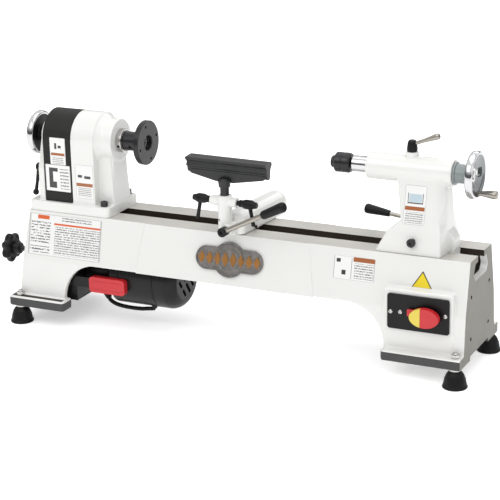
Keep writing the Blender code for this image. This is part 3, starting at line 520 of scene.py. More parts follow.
def printed(name, ground, bars=(), lines=(), rough=0.35):
    """A printed label: bars are (colour, x, z) and lines (x, z, rows), in parts of the label's size."""
    material, tree, shader = blank(name, "white_paint", coat=0.2)
    coords = add(tree, "TexCoord").outputs["Generated"]
    split = add(tree, "SeparateXYZ")
    tree.links.new(coords, split.inputs[0])
    axes = split.outputs
    colour = ramp(tree, noise(tree, coords, 5), ((0.3, tuple(c * 0.97 for c in ground)), (0.7, ground)))
    edge = (0.45, 0.45, 0.45)
    border = (((0, 1), (0, 0.012)), ((0, 1), (0.988, 1)), ((0, 0.02), (0, 1)), ((0.98, 1), (0, 1)))
    marks = [(edge, window(tree, axes, x, z)) for x, z in border]
    marks += [(tint, window(tree, axes, x, z)) for tint, x, z in bars]
    marks += [((0.16, 0.16, 0.16), written(tree, axes, coords, x, z, rows)) for x, z, rows in lines]
    for tint, mask in marks:
        layer = add(tree, "MixRGB")
        layer.inputs["Color2"].default_value = (*tint, 1)
        tree.links.new(mask, layer.inputs["Fac"])
        tree.links.new(colour, layer.inputs["Color1"])
        colour = layer.outputs["Color"]
    tree.links.new(colour, shader.inputs["Base Color"])
    tree.links.new(spread(tree, noise(tree, coords, 60), rough * 0.85, rough * 1.15),
                   shader.inputs["Roughness"])
    return material


WHITE = surface("white_enamel", "white_paint", (0.70, 0.70, 0.68), 0.32, coat=0.3, vary=0.012, grain=1500,
                bump=0.03, swell=0.05)
WAYS = surface("ground_ways", "cast_iron", (0.52, 0.505, 0.47), 0.38, metallic=0.35, vary=0.10, grain=14,
               bump=0.12, depth=0.1, stretch=(1, 90, 90))
MILLED = surface("milled_end", "cast_iron", (0.13, 0.125, 0.102), 0.42, metallic=0.35, vary=0.15, grain=14,
                 bump=0.2, depth=0.1, stretch=(90, 90, 4))
# Raw iron darkened almost to black with painted shade, for the inside of the bed, its end holes, the headstock's
# bore, the collar's holes and the banjo's slit.
INSIDE_SHADE = surface("inside_iron_painted_shade", "cast_iron", (0.028, 0.021, 0.015), 0.5, vary=0.25, grain=500, bump=0.2)
BAND = surface("grey_band", "grey_paint", (0.062, 0.062, 0.062), 0.5, vary=0.12, grain=1200, bump=0.12)
BLACK = surface("black_enamel", "black_paint", (0.008, 0.008, 0.008), 0.36, coat=0.1, vary=0.2, grain=1300,
                bump=0.05)
COVER = surface("crackle_black", "black_paint", (0.016, 0.016, 0.015), 0.5, vary=0.2, grain=1600, bump=0.25)
HAMMER = surface("hammered_iron", "black_paint", (0.018, 0.0185, 0.019), 0.42, metallic=0.2, vary=0.25,
                 grain=700,
                 bump=0.3, swell=0.2)
PLASTIC = surface("black_plastic", "black_plastic", (0.007, 0.007, 0.0075), 0.33, vary=0.15, grain=2200,
                  bump=0.08)
GREY = surface("grey_plastic", "grey_plastic", (0.23, 0.26, 0.26), 0.38, vary=0.06, grain=1800, bump=0.08)
RED = surface("red_plastic", "red_plastic", (0.52, 0.016, 0.022), 0.34, vary=0.08, grain=1500, bump=0.08)
YELLOW = surface("yellow_plastic", "yellow_plastic", (0.66, 0.52, 0.07), 0.36, vary=0.06, grain=1500,
                 bump=0.08)
RUBBER = surface("rubber", "rubber", (0.0045, 0.0045, 0.0045), 0.5, vary=0.25, grain=1500, bump=0.3)
STEEL = surface("turned_steel", "bright_steel", (0.50, 0.49, 0.475), 0.22, metallic=1.0, vary=0.08,
                grain=10,
                bump=0.1, depth=0.05, stretch=(160, 1, 1))
DRAWN = surface("drawn_steel", "bright_steel", (0.34, 0.32, 0.285), 0.3, metallic=1.0, vary=0.08,
                grain=1200, bump=0.05)
BLUED = surface("blued_steel", "black_steel", (0.03, 0.03, 0.032), 0.3, metallic=0.65, vary=0.2, grain=12,
                bump=0.12, depth=0.05, stretch=(120, 1, 1))
CHROME = surface("chrome", "chrome", (0.56, 0.56, 0.57), 0.07, metallic=1.0, vary=0.02, grain=600,
                 bump=0.01)
SATIN = surface("satin_chrome", "chrome", (0.24, 0.25, 0.255), 0.3, metallic=0.9, vary=0.05, grain=600,
                bump=0.03)
ALUMINIUM = surface("aluminium", "aluminium", (0.62, 0.63, 0.64), 0.33, metallic=1.0, vary=0.06, grain=10,
                    bump=0.15, depth=0.05, stretch=(140, 1, 1))
IRON = surface("raw_iron", "cast_iron", (0.16, 0.15, 0.14), 0.55, metallic=0.6, vary=0.2, grain=700,
               bump=0.3)
PEWTER = surface("pewter", "bronze_plate", (0.20, 0.19, 0.18), 0.42, metallic=0.6, vary=0.35, patch=120,
                 grain=700, bump=0.6)
BRONZE = surface("bronze", "bronze_plate", (0.36, 0.17, 0.05), 0.4, metallic=0.75, vary=0.2, grain=900,
                 bump=0.25)

PAPER = (0.76, 0.76, 0.75)
ORANGE = (0.60, 0.11, 0.03)
BROWN = (0.32, 0.10, 0.03)
INK = (0.03, 0.03, 0.03)


# ---------------------------------------------------------------- bed

def bed_half(z):
    """Half the bed's outside width at a height."""
    if z > BED_SKIRT_LOW:
        return BED_TOP_HALF + (BED_SKIRT_HALF - BED_TOP_HALF) * z / BED_SKIRT_LOW
    return BED_SKIRT_HALF + (BED_LEG_HALF - BED_SKIRT_HALF) * (z - BED_SKIRT_LOW) / (FLANGE_TOP - BED_SKIRT_LOW)


def bed_loop(heights, inset, x_of_z):
    """A cross-section of the bed, up one side and down the other."""
    left = [world(x_of_z(z), -bed_half(z) + inset, z) for z in heights]
    right = [world(x_of_z(z), bed_half(z) - inset, z) for z in reversed(heights)]
    return left + right


def bed_arch():
    """The opening under the bed, between the legs."""
    left = arc((137, FLANGE_TOP), (137 - LEG_LEFT_END, 65), 180, 90, 24)
    right = arc((605, FLANGE_TOP), (LEG_RIGHT_START - 605, 65), 90, 0, 24)
    outline = [(LEG_LEFT_END, -180)] + left + right + [(LEG_RIGHT_START, -180)]
    return prism("arch", outline, "Y", -130, 130)


def raised_panel():
    """The middle of both sides, a little proud of the ends, between slanting edges."""
    loops = []
    for z, start, end in ((6, 234, 536), (-90, 220, 552)):
        half = bed_half(z) + PANEL_PROUD
        loops.append([world(x, y, z) for x, y in ((start, -half), (end, -half), (end, half),
                                                  (start, half))])
    return loft("raised_panel", loops)


def bed_shell():
    """The casting before it is machined, a little long at its top and right end."""
    heights = [6, BED_SKIRT_LOW, FLANGE_TOP]
    outer = [bed_loop(heights, 0, lambda z: z * END_DRAFT), bed_loop(heights, 0, lambda z: BED_LENGTH + 6)]
    bed = loft("bed", outer)
    fuse(bed, raised_panel())
    cut(bed, bed_arch())
    for low, high in (FLANGE_LEFT, (FLANGE_RIGHT[0], FLANGE_RIGHT[1] + 6)):
        outline = rounded((low, high), (-FLANGE_HALF, FLANGE_HALF), 6)
        fuse(bed, prism("flange", outline, "Z", FLANGE_LOW, FLANGE_TOP + 0.5))
    fuse(bed, box("switch_boss", (677, 793), (-79.5, -62), (-151, -50)))
    cast(bed, 1.7, 5)
    crisp = raised_panel()
    cut(crisp, bed_arch())
    settle(crisp)
    fuse(bed, crisp)
    return bed


def bed_cavities(bed):
    inner_heights = [-WAY_THICK, BED_SKIRT_LOW, FLANGE_TOP, -180]
    inner = [bed_loop(inner_heights, BED_WALL, lambda z: CHANNEL_LEFT),
             bed_loop(inner_heights, BED_WALL, lambda z: BED_LENGTH - END_WALL)]
    cut(bed, loft("channel", inner))
    cut(bed, box("slot", (-30, 830), (-SLOT_HALF, SLOT_HALF), (-20, 9)))
    cut(bed, box("belt_opening", (24, 88), (-44, 44), (-20, 9)))
    cut(bed, box("switch_opening", (690, 781), (-90, -55), (-110, -62)))
    notch = soften([(-28, -10), (-37, -28), (-29, -39), (29, -39), (37, -28), (28, -10)], 4)
    cut(bed, prism("end_notch", notch, "X", 790, 830))
    cut(bed, box("end_recess", (790, 830), (-46, 46), (-180, -160)))


def in_end_hole(p):
    return any(math.hypot(p.y - y, p.z - z) < 3.6 for y, z in END_HOLES)


def bed_holes(bed):
    for y, z in END_HOLES:
        cut(bed, rod("end_hole", world(790, y, z), world(830, y, z), 3.3, 24))
    for x in FOOT_X:
        for y in (-FOOT_Y, FOOT_Y):
            cut(bed, rod("stud_hole", world(x, y, -180), world(x, y, -140), STUD_R + 0.3, 24))
    for y in (-42, 42):
        cut(bed, rod("screw_hole", world(146, y, -20), world(146, y, 9), 4.3, 24))
    for y, z in (KNOB, MOTOR_PIVOT):
        cut(bed, rod("left_hole", world(-40, y, z), world(20, y, z), 5.3, 32))


def bed_casting():
    bed = bed_shell()
    cut(bed, box("planed_top", (-60, 860), (-100, 100), (0, 20)))
    cut(bed, box("milled_end", (BED_LENGTH, 860), (-130, 130), (-190, 30)))
    cut(bed, box("milled_foot", (-60, 860), (-130, 130), (-190, FLANGE_LOW)))
    bed_cavities(bed)
    bed_holes(bed)

    def inside(p):
        half = bed_half(max(p.z, FLANGE_LOW)) - BED_WALL + 1
        return abs(p.y) < half and 1 < p.x < BED_LENGTH - END_WALL - 1

    def underside(p, n):
        return p.z > -100 and n.z < -0.5 and abs(p.y) > 40

    tints = [(WAYS, lambda p, n: p.z > -0.1 and n.z > 0.9),
             (MILLED, lambda p, n: p.x > BED_LENGTH - 0.1 and n.x > 0.9),
             (BAND, lambda p, n: p.z < FLANGE_TOP - 1.5 and abs(n.z) < 0.5 and not inside(p)),
             # The end holes and the inside of the bed's hollow take painted shade.
             (INSIDE_SHADE, lambda p, n: p.x > BED_LENGTH - END_WALL and abs(n.x) < 0.5 and in_end_hole(p)),
             (INSIDE_SHADE, lambda p, n: inside(p) and p.z < -0.2 and not underside(p, n))]
    show(bed, "bed_casting", WHITE, tints=tints, sharp=38)


def ribbed_foot(name, x, y):
    """A round rubber foot with a shallow groove above its sole, and a dished top."""
    profile = [(0, 0), (0, FOOT_R - 0.6), (0.8, FOOT_R), (3.2, FOOT_R), (4.6, 19.2), (15, 17.2), (22, 14.5)]
    profile += [(26, 11.5), (28.2, 9), (28.2, 4.4), (8, 4.4), (8, 0)]
    show(turned(name, profile, world(x, y, FLOOR), world(x, y, 0), 72, 0.8), name.replace("rubber_", ""),
         RUBBER)


def foot_stud(name, node, x, y):
    profile = [(0, 0), (0, STUD_R), (20.2, STUD_R), (20.2, 9.5), (22.9, 9.5), (22.9, STUD_R),
               (49.4, STUD_R),
               (50.2, 3.2), (50.2, 0)]
    stud = turned(name, profile, world(x, y, -190.2), world(x, y, 0), 48)
    nut = hex_nut("nut", world(x, y, -149.2), world(x, y, -143.2), 7.0)
    fuse(stud, nut)
    show(stud, node, STEEL)


def hex_nut(name, start, end, reach):
    """A six-sided nut whose corners are chamfered at both ends."""
    length = (end - start).length / MM
    nut = rod(name, start, end, reach, 6)
    keep = turned("chamfer", [(0, 0), (0, reach * 0.9), (length * 0.12, reach), (length * 0.88, reach),
                              (length, reach * 0.9), (length, 0)], start, end, 48, 0)
    boolean(nut, keep, "INTERSECT")
    settle(nut)
    return nut


def lean_of_side():
    return math.degrees(math.atan2(BED_SKIRT_HALF - BED_TOP_HALF, -BED_SKIRT_LOW))


def onto_side(obj, proud):
    """Leans a flat part, drawn standing at y 0 about z -42, against the front of the bed."""
    swing([obj], world(0, 0, -42), "X", -lean_of_side())
    obj.data.transform(Matrix.Translation(Vector((0, -(bed_half(-42) + proud) * MM, 0))))


def plate_solid(name, grow, y):
    """The nameplate's outline, a band with round ends and a disc at its middle, made smaller by some amount."""
    band = rounded((335 + grow, 459 - grow), (-62 + grow, -22 - grow), 19.9 - grow, 16)
    solid = prism(name, band, "Y", *y)
    fuse(solid, turned("disc", [(0, 0), (0, 30 - grow), (y[1] - y[0], 30 - grow), (y[1] - y[0], 0)],
                       world(397, y[0], -42), world(397, y[1], -42), 96, 0))
    settle(solid)
    return solid


def nameplate():
    """A cast plate with a raised rim, and plain raised ornament in place of a name."""
    plate = plate_solid("nameplate", 0, (-3, 0))
    cut(plate, plate_solid("field", 2.2, (-6, -1.6)))
    settle(plate)
    onto_side(plate, PANEL_PROUD + 0.3)
    show(plate, "nameplate", PEWTER, bevel=0.35)
    centre = world(397, -1.6, -42)
    for k, (outer, inner) in enumerate(((26, 24.6), (18.5, 17.5))):
        band = [(0, inner), (0, outer), (1.1, outer), (1.1, inner)]
        hoop = turned(f"nameplate_ring_{k}", band, centre, centre - Vector((0, MM, 0)), 96, 0.3)
        onto_side(hoop, PANEL_PROUD + 0.3)
        show(hoop, None, PEWTER, body="bed")
    for k in range(8):
        x, z, tall = 345.9 + 14.6 * k, -42, 13.5 - 0.7 * abs(k - 3.5)
        corners = [(x - 6.6, z), (x, z + tall), (x + 6.6, z), (x, z - tall)]
        leaf = prism(f"nameplate_leaf_{k + 1}", soften(corners, 2.5, count=6), "Y", -2.7, -1.4)
        onto_side(leaf, PANEL_PROUD + 0.3)
        show(leaf, None, BRONZE, bevel=0.5, body="bed")


def label(name, rows, front, paint, body):
    """A thin printed sheet laid on a surface: rows of (z, left, right), and the surface's y at each z."""
    loops = []
    for z, left, right in rows:
        y = front(z)
        loops.append([world(left, y - 0.22, z), world(right, y - 0.22, z), world(right, y + 0.1, z),
                      world(left, y + 0.1, z)])
    show(loft(name, loops), None, paint, body=body, sharp=50)


def sheet_rows(x, z, corner=2.5, count=12):
    """Rows of a sheet with round corners, from its foot to its head."""
    rows = []
    for k in range(count + 1):
        for part in ([0.0, 0.15, 0.4, 0.7, 1.0] if k == 0 else [1.0]):
            up = part * corner if k == 0 else corner + (z[1] - z[0] - 2 * corner) * k / count
            inset = corner - math.sqrt(max(0.0, corner ** 2 - (corner - min(up, corner)) ** 2))
            rows.append((z[0] + up, x[0] + inset, x[1] - inset))
    for part in (0.7, 0.4, 0.15, 0.0):
        inset = corner - math.sqrt(corner ** 2 - (corner - part * corner) ** 2)
        rows.append((z[1] - part * corner, x[0] + inset, x[1] - inset))
    return rows


def bed_labels():
    side = lambda z: -bed_half(z)
    left = printed("label_bed_left", PAPER, ((ORANGE, (0.115, 0.277), (0.88, 0.975)),
                                             (ORANGE, (0.345, 0.985), (0.765, 0.81))),
                   (((0.03, 0.30), (0.30, 0.84), 8), ((0.45, 0.86), (0.86, 0.98), 2),
                    ((0.36, 0.985), (0.05, 0.73), 12),
                    ((0.03, 0.30), (0.06, 0.22), 2)))
    label("bed_label_left", sheet_rows((2, 148), (-76, -5)), side, left, "bed")
    right = printed("label_bed_right", PAPER, ((BROWN, (0.47, 1.0), (0.8, 1.0)),
                                               (INK, (0.06, 0.16), (0.72, 0.88)),
                                               (INK, (0.2, 0.3), (0.2, 0.4)), (INK, (0.43, 0.44), (0.05, 0.95))),
                    (((0.5, 0.97), (0.08, 0.74), 6),))
    label("bed_label_right", sheet_rows((583, 654), (-50, -13)), side, right, "bed")
    warn = [(-49.5 + 27.5 * k / 8, 717.5 + (18 - 0.4) * k / 8,
             753.5 - (18 - 0.4) * k / 8) for k in range(9)]
    label("triangle_border", warn, side, printed("triangle_black", (0.02, 0.02, 0.02)), "bed")
    inner = [(-48 + 23.2 * k / 8, 720.2 + (15.3 - 0.3) * k / 8,
              750.8 - (15.3 - 0.3) * k / 8) for k in range(9)]
    label("triangle_field", inner, lambda z: side(z) - 0.12,
          printed("triangle_yellow", (0.74, 0.57, 0.015)), "bed")


def pivot_pin():
    y, z = MOTOR_PIVOT
    profile = [(-8, 0), (-8, 4.3), (-7.2, 5), (99.4, 5), (100, 4.4), (100, 0)]
    show(along_x("motor_pivot_pin_turned", profile, y, z, 48), "motor_pivot_pin", STEEL)


def build_bed():
    bed_casting()
    for i, (x, y) in enumerate((x, y) for x in FOOT_X for y in (-FOOT_Y, FOOT_Y)):
        ribbed_foot(f"rubber_foot_{i + 1}", x, y)
        foot_stud(f"levelling_stud_{i + 1}", f"foot_stud_{i + 1}", x, y)
    nameplate()
    bed_labels()
    pivot_pin()


# ---------------------------------------------------------------- headstock

def arch_outline(half, low, centre=SWING, count=36):
    """Straight sides with a round top, in Y and Z."""
    return [(half, low)] + arc((0, centre), (half, half), 0, 180, count) + [(-half, low)]


def left_wall_outline():
    """Wide at its foot, and drawn in to a boss round the rear bearing."""
    top = arc((0, SWING), (31, 31), 0, 180, 36)
    return [(46, 10), (46, 76)] + top + [(-46, 76), (-46, 10)]


def headstock_casting():
    outline = rounded((0, HEAD_END), (-53, 53), 8)
    head = prism("headstock", outline, "Z", -4, HEAD_FLOOR)
    left, right = COVER_X
    fuse(head, prism("left_wall", left_wall_outline(), "X", 18, left - 0.3))
    fuse(head, prism("front_body", arch_outline(COVER_R, 10), "X", right + 0.3, 131))
    low = [world(x, y, 10) for x, y in ((100, -30), (158, -27), (158, 27), (100, 30))]
    high = [world(x, y, 120) for x, y in ((100, -24), (158, -22), (158, 22), (100, 24))]
    fuse(head, loft("column", [low, high]))
    fuse(head, along_x("nose", [(110, 0), (110, NOSE_R), (NOSE_FACE, NOSE_R), (NOSE_FACE, 0)], 0, SWING,
                       96, 0))
    fuse(head, along_x("nose_root", [(122, 0), (122, COVER_R - 1), (129, COVER_R - 1), (142, NOSE_R),
                                     (142, 0)], 0, SWING, 96, 0))
    for side in (-1, 1):
        web = [world(x, side * y, z) for x, y, z in ((120, 30, 12), (160, 30, 12), (160, 24, 12),
                                                     (120, 24, 12))]
        top = [world(x, side * y, z) for x, y, z in ((120, 31, 108), (152, 26, 108), (152, 20, 108),
                                                     (120, 24, 108))]
        fuse(head, loft("web", [web, top]))
    fuse(head, box("rear_wall", (20, 100), (39, 46), (10, 100)))
    y, z = COVER_HINGE
    for x in ((38, 45.7), (66.3, 74)):
        fuse(head, box("lug", x, (42, y + 1), (90, z)))
        fuse(head, rod("lug_eye", world(x[0], y, z), world(x[1], y, z), 5, 48))
    cast(head, 1.2, 12)
    cut(head, box("planed_foot", (-20, 200), (-80, 80), (-20, 0.3)))
    cut(head, rod("pin_hole", world(30, y, z), world(80, y, z), 2.8, 32))
    bore = [(60, 0), (60, 31.3), (152, 31.3), (152, 20), (170, 20), (170, 0)]
    cut(head, along_x("spindle_bore", bore, 0, SWING, 96, 0))
    cut(head, rod("rear_bore", world(10, 0, SWING), world(40, 0, SWING), 20.3, 96))
    cut(head, box("belt_way", (28, 84), (-38.5, 38.5), (-5, 30)))
    for y in (-42, 42):
        cut(head, rod("screw_hole", world(146, y, -5), world(146, y, 25), 4.3, 32))
    y, z = -30, 73
    cut(head, rod("lever_hole", world(10, y, z), world(40, y, z), 3.3, 32))

    # The walls of the spindle bore take painted shade.
    def bored(p, n):
        return math.hypot(p.y, p.z - SWING) < 31.6 and 30 < p.x < 155 and abs(n.x) < 0.5

    tints = [(INSIDE_SHADE, bored)]
    show(head, "headstock_casting", WHITE, tints=tints, sharp=40)
    sheet = printed("label_head", PAPER, ((BROWN, (0.04, 0.96), (0.36, 0.46)),
                                          (INK, (0.14, 0.38), (0.62, 0.7)), (INK, (0.5, 0.86), (0.6, 0.68))),
                    (((0.12, 0.88), (0.05, 0.32), 5),))
    label("headstock_label", sheet_rows((94, 129), (29, 89)), lambda z: -COVER_R, sheet, "bed")


def cap_screw(name, node, y):
    """A socket-head screw that holds the headstock down."""
    profile = [(0, 0), (0, 4), (30.3, 4), (30.3, 6.5), (38.3, 6.5), (38.3, 0)]
    screw = turned(name, profile, world(146, y, -12), world(146, y, 0), 64, 0.5)
    cut(screw, rod("socket", world(146, y, 22.3), world(146, y, 30), 3.2, 6))
    show(screw, node, BLUED)


def bearing(name, node, x, outer, inner):
    """Two races with a shield set back between them."""
    low, high = x
    gap = (outer - inner) / 3.5
    profile = [(low, inner), (low, inner + gap), (low + 0.7, inner + gap), (low + 0.7, outer - gap),
               (low, outer - gap),
               (low, outer), (high, outer), (high, outer - gap), (high - 0.7, outer - gap), (high - 0.7,
                       inner + gap),
               (high, inner + gap), (high, inner)]
    show(along_x(name, profile, 0, SWING, 96, 0.3), node, STEEL)


def spindle():
    profile = [(-8, 5), (-8, 10), (16.5, 10), (16.5, 12), (30, 12), (30, 14), (84, 14), (84, 16)]
    profile += [(137, 16), (137, 17.5), (171, 17.5), (171, 12.5), (206, 12.5), (206, 8), (165, 5)]
    show(along_x("spindle_turned", profile, 0, SWING, 96, 0.6), "spindle", STEEL)


def stepped_pulley(name, node, radii, bore, z):
    """Three belt steps with a low rim between them."""
    profile = [(PULLEY_X, bore)]
    for i, radius in enumerate(radii):
        x = PULLEY_X + 16.5 * i
        profile += [(x, radius + 3), (x + 1.2, radius + 3), (x + 1.5, radius), (x + 15, radius)]
    end = PULLEY_X + 16.5 * len(radii)
    profile += [(end - 1.2, radii[-1] + 3), (end, radii[-1] + 3), (end, bore)]
    show(along_x(name, profile, 0, z, 96, 0.3), node, ALUMINIUM)


def belt_loop(radius, count=40):
    top = arc((0, SWING), (radius, radius), 0, 180, count)
    low = arc((0, MOTOR_Z), (radius, radius), 180, 360, count)
    return top + low


def drive_belt():
    """A ribbed belt: its outside is flat, and three grooves run round its inside."""
    section = [(51.5, 3.0), (62.5, 3.0)]
    for k in range(3):
        x = 62.5 - 11 * k / 3
        section += [(x - 0.4, 0.4), (x - 1.4, 0.4), (x - 2.2, 1.4), (x - 3.2, 0.4)][: 4 if k < 2 else 2]
    section += [(51.9, 0.4)]
    bm = bmesh.new()
    paths = [[bm.verts.new(world(x, a, b)) for a, b in belt_loop(BELT_R + up)] for x, up in section]
    for here, there in zip(paths, paths[1:] + paths[:1]):
        for i in range(len(here)):
            j = (i + 1) % len(here)
            bm.faces.new((here[i], here[j], there[j], there[i]))
    show(made("drive_belt_ribbed", bm), "drive_belt", RUBBER, sharp=40)


def outboard_handwheel():
    profile = [(-7, 10.3), (-7, 14), (-3, 15), (-3, 32), (-8, 34), (-8, 37), (-5, 39), (0, 39)]
    profile += [(4, 37), (4, 34), (2, 32), (2, 15), (16, 14), (16, 10.3)]
    wheel = along_x("outboard_handwheel_turned", profile, 0, SWING, 96, 1.6)
    dish = (BLACK, lambda p, n: math.hypot(p.y, p.z - SWING) < 33.2)
    show(wheel, "outboard_handwheel", CHROME, tints=[dish])


def cover_shell():
    left, right = COVER_X
    low = HEAD_FLOOR + 0.3
    start, end = 180.0, -18.0
    outside = [(-COVER_R, low)] + arc((0, SWING), (COVER_R, COVER_R), start, end, 56)
    inner = COVER_R - COVER_WALL
    inside = [(-inner, low)] + arc((0, SWING), (inner, inner), start, end, 56)
    return prism("belt_cover_shell", outside + inside[::-1], "X", left, right)


def belt_cover():
    cover = cover_shell()
    y, z = COVER_HINGE
    fuse(cover, box("strap", (46, 66), (y - 8.5, y), (z, z + 8)))
    fuse(cover, rod("knuckle", world(46, y, z), world(66, y, z), 5, 48))
    cut(cover, rod("knuckle_hole", world(40, y, z), world(72, y, z), 2.8, 32))
    cut(cover, box("pull", (20, 90), (-COVER_R - 4, -COVER_R + 0.9),
                   (HEAD_FLOOR + 17.4, HEAD_FLOOR + 18.4)))
    show(cover, "belt_cover", COVER, bevel=0.9)

    def front(z):
        return -COVER_R if z < SWING else -math.sqrt(COVER_R ** 2 - (z - SWING) ** 2)

    upper = printed("label_cover_top", PAPER, ((BROWN, (0.06, 0.94), (0.34, 0.44)),
                                               (INK, (0.3, 0.44), (0.58, 0.8)),
                                               (INK, (0.52, 0.72), (0.62, 0.72))), (((0.14, 0.86), (0.04, 0.3), 4),))
    label("cover_label_top", sheet_rows((45, 76), (85, 133), 1.5), front, upper, "cover")
    lower = printed("label_cover_chart", PAPER,
                    ((INK, (0.14, 0.5), (0.74, 0.88)), (INK, (0.14, 0.44), (0.12, 0.36)),
                                                 (INK, (0.14, 0.3), (0.36, 0.74))), (((0.58, 0.94), (0.1, 0.86), 6),))
    label("cover_label_chart", sheet_rows((34, 83.5), (37, 84.5), 1.5), front, lower, "cover")


def hinge_pin():
    y, z = COVER_HINGE
    show(rod("cover_hinge_pin_turned", world(36, y, z), world(76, y, z), 2.5, 32, 0.5), "cover_hinge_pin",
         STEEL)


def headstock_lever():
    y, z = -30, 73
    profile = [(6, 0), (6, 6), (8, 7.5), (17.7, 7.5), (17.7, 3), (27, 3), (27, 0)]
    lever = along_x("headstock_lever_moulded", profile, y, z, 64, 1.2)
    arm = [(0, 0), (0, 4.6), (14, 3.5), (30, 2.9), (46, 3.3), (46, 0)]
    fuse(lever, turned("arm", arm, world(10, y, z), world(1, y, 28), 40, 0))
    ball = [(0, 0), (0.3, 1.9), (1, 3.3), (2, 4.3), (3.6, 5.2), (5.5, 5.5), (7.4, 5.2), (9, 4.3),
            (10, 3.3), (10.7, 1.9), (11, 0)]
    fuse(lever, turned("ball", ball, world(1.5, y, 31), world(-0.6, y, 20.5), 40, 0))
    cast(lever, 0.5, 4)
    show(lever, "headstock_lever", PLASTIC)


def spindle_collar():
    """A bright ring behind the faceplate, with the hole for a tommy bar in its side."""
    profile = [(NOSE_FACE + 0.3, 17.8), (NOSE_FACE + 0.3, 20.8), (171, 20.8), (171, 17.8)]
    collar = along_x("spindle_collar_turned", profile, 0, SWING, 96, 0.7)
    for turn in (198, 18):
        t = math.radians(turn)
        out = Vector((0, math.cos(t), math.sin(t)))
        middle = world(166.2, 0, SWING)
        cut(collar, rod("tommy_hole", middle + out * (10 * MM), middle + out * (30 * MM), 2.6, 32))

    # The tommy holes and the collar's bore take painted shade.
    def in_hole(p, n):
        return math.hypot(p.y, p.z - SWING) < 20.2 and abs(n.x) < 0.98 and 163 < p.x < 169.4

    show(collar, "spindle_collar", STEEL, tints=[(INSIDE_SHADE, in_hole)])


def faceplate():
    hub = 16.7
    disc = FACEPLATE_FACE - 9.7
    profile = [(171.3, 12.8), (171.3, hub - 1), (172.3, hub), (disc - 2.5, hub), (disc, hub + 2.5),
               (disc, FACEPLATE_R - 1),
               (disc + 1, FACEPLATE_R), (FACEPLATE_FACE - 1, FACEPLATE_R), (FACEPLATE_FACE,
                       FACEPLATE_R - 1),
               (FACEPLATE_FACE, 14.2), (FACEPLATE_FACE - 1.4, 12.8)]
    plate = along_x("faceplate_turned", profile, 0, SWING, 128, 0.3)
    for i in range(4):
        t = math.radians(104 + 90 * i)
        y, z = 30 * math.cos(t), SWING + 30 * math.sin(t)
        cut(plate, rod("screw_hole", world(200, y, z), world(220, y, z), 2.6, 24))
    for t in (math.radians(205), math.radians(25)):
        out = Vector((0, math.cos(t), math.sin(t)))
        middle = world(186, 0, SWING)
        cut(plate, rod("grub_hole", middle + out * (12 * MM), middle + out * (24 * MM), 2.6, 24))
    show(plate, "faceplate", BLUED, sharp=30)


def lock_knob():
    y0, z0 = KNOB
    low, high = KNOB_X
    count = 210
    lobes = []
    for i in range(count):
        t = math.tau * i / count
        lobes.append((math.cos(t), math.sin(t), 0.9 + 0.1 * math.cos(7 * t)))
    profile = soften([(low, 0.5), (low, 19.5), (low + 6, KNOB_R), (high - 4, KNOB_R), (high, 22.0),
                      (high, 0.5)], 5.5,
                     closed=False, count=8)
    loops = []
    for x, radius in profile:
        loops.append([world(x, y0 + radius * k * a, z0 + radius * k * b) for a, b, k in lobes])
    knob = loft("lock_knob_moulded", loops)
    fuse(knob, along_x("hub", [(high - 6, 0), (high - 6, 12), (-32, 10), (-32, 5), (14, 5), (14, 0)], y0,
                       z0, 64, 0.6))

    def on_shaft(p, n):
        return math.hypot(p.y - y0, p.z - z0) < 5.2 and p.x > -32

    show(knob, "lock_knob", PLASTIC, tints=[(BLUED, on_shaft)])


def build_headstock():
    headstock_casting()
    cap_screw("headstock_cap_screw_front", "headstock_screw_front", -42)
    cap_screw("headstock_cap_screw_rear", "headstock_screw_rear", 42)
    bearing("front_ball_bearing", "front_bearing", (138, 151.7), 31, 17.8)
    bearing("rear_ball_bearing", "rear_bearing", (18, 28), 20, 12.3)
    drive_belt()
    hinge_pin()
    spindle()
    stepped_pulley("spindle_pulley_turned", "spindle_pulley", (36, BELT_R, 24), 14.3, SWING)
    outboard_handwheel()
    spindle_collar()
    faceplate()
    belt_cover()
    headstock_lever()
    lock_knob()


# ---------------------------------------------------------------- motor

GLAND = (world(132.6, -25.6, -145.6), world(138.5, -27, -156))
LEAD_ENTRY = (world(233.5, -27, -150), world(228.5, -27, -161.5))
LEAD_R = 3.6


def motor_bracket():
    bracket = box("motor_bracket_bent", (88, 93), (-60, 62), (-156, -84))
    fuse(bracket, box("front", (60, 91), (-60, -56), (-156, -98)))
    fuse(bracket, box("bar", (80, 186), (-62.5, -57.5), (-128, -110)))
    y, z = MOTOR_PIVOT
    fuse(bracket, rod("pivot_tube", world(14, y, z), world(92, y, z), 9, 48))
    cut(bracket, rod("pivot_hole", world(0, y, z), world(110, y, z), 5.3, 32))
    cut(bracket, rod("shaft_hole", world(80, 0, MOTOR_Z), world(100, 0, MOTOR_Z), 9, 48))
    show(bracket, "motor_bracket", BLACK, bevel=0.8)


def motor_housing():
    """A short front boss, a narrow end shield and the round body, with a seam where the shield meets it."""
    low, high = MOTOR_X
    profile = [(93.3, 7.3), (93.3, 30), (98, 36), (140, 38), (low, 40), (low, MOTOR_R - 6),
               (low + 6, MOTOR_R),
               (low + 20, MOTOR_R), (low + 20.6, MOTOR_R - 0.9), (low + 22, MOTOR_R - 0.9), (low + 22.6,
                       MOTOR_R),
               (high - 3, MOTOR_R), (high, MOTOR_R - 1), (high, 7.3)]
    housing = along_x("motor_housing_cast", profile, 0, MOTOR_Z, 128, 1.2)
    entry = [(0, 0), (0, 5.5), (12.17, 5.0), (12.17, 0)]
    fuse(housing, turned("lead_entry", entry, *LEAD_ENTRY, 48, 0.5))
    show(housing, "motor_housing", BLACK)


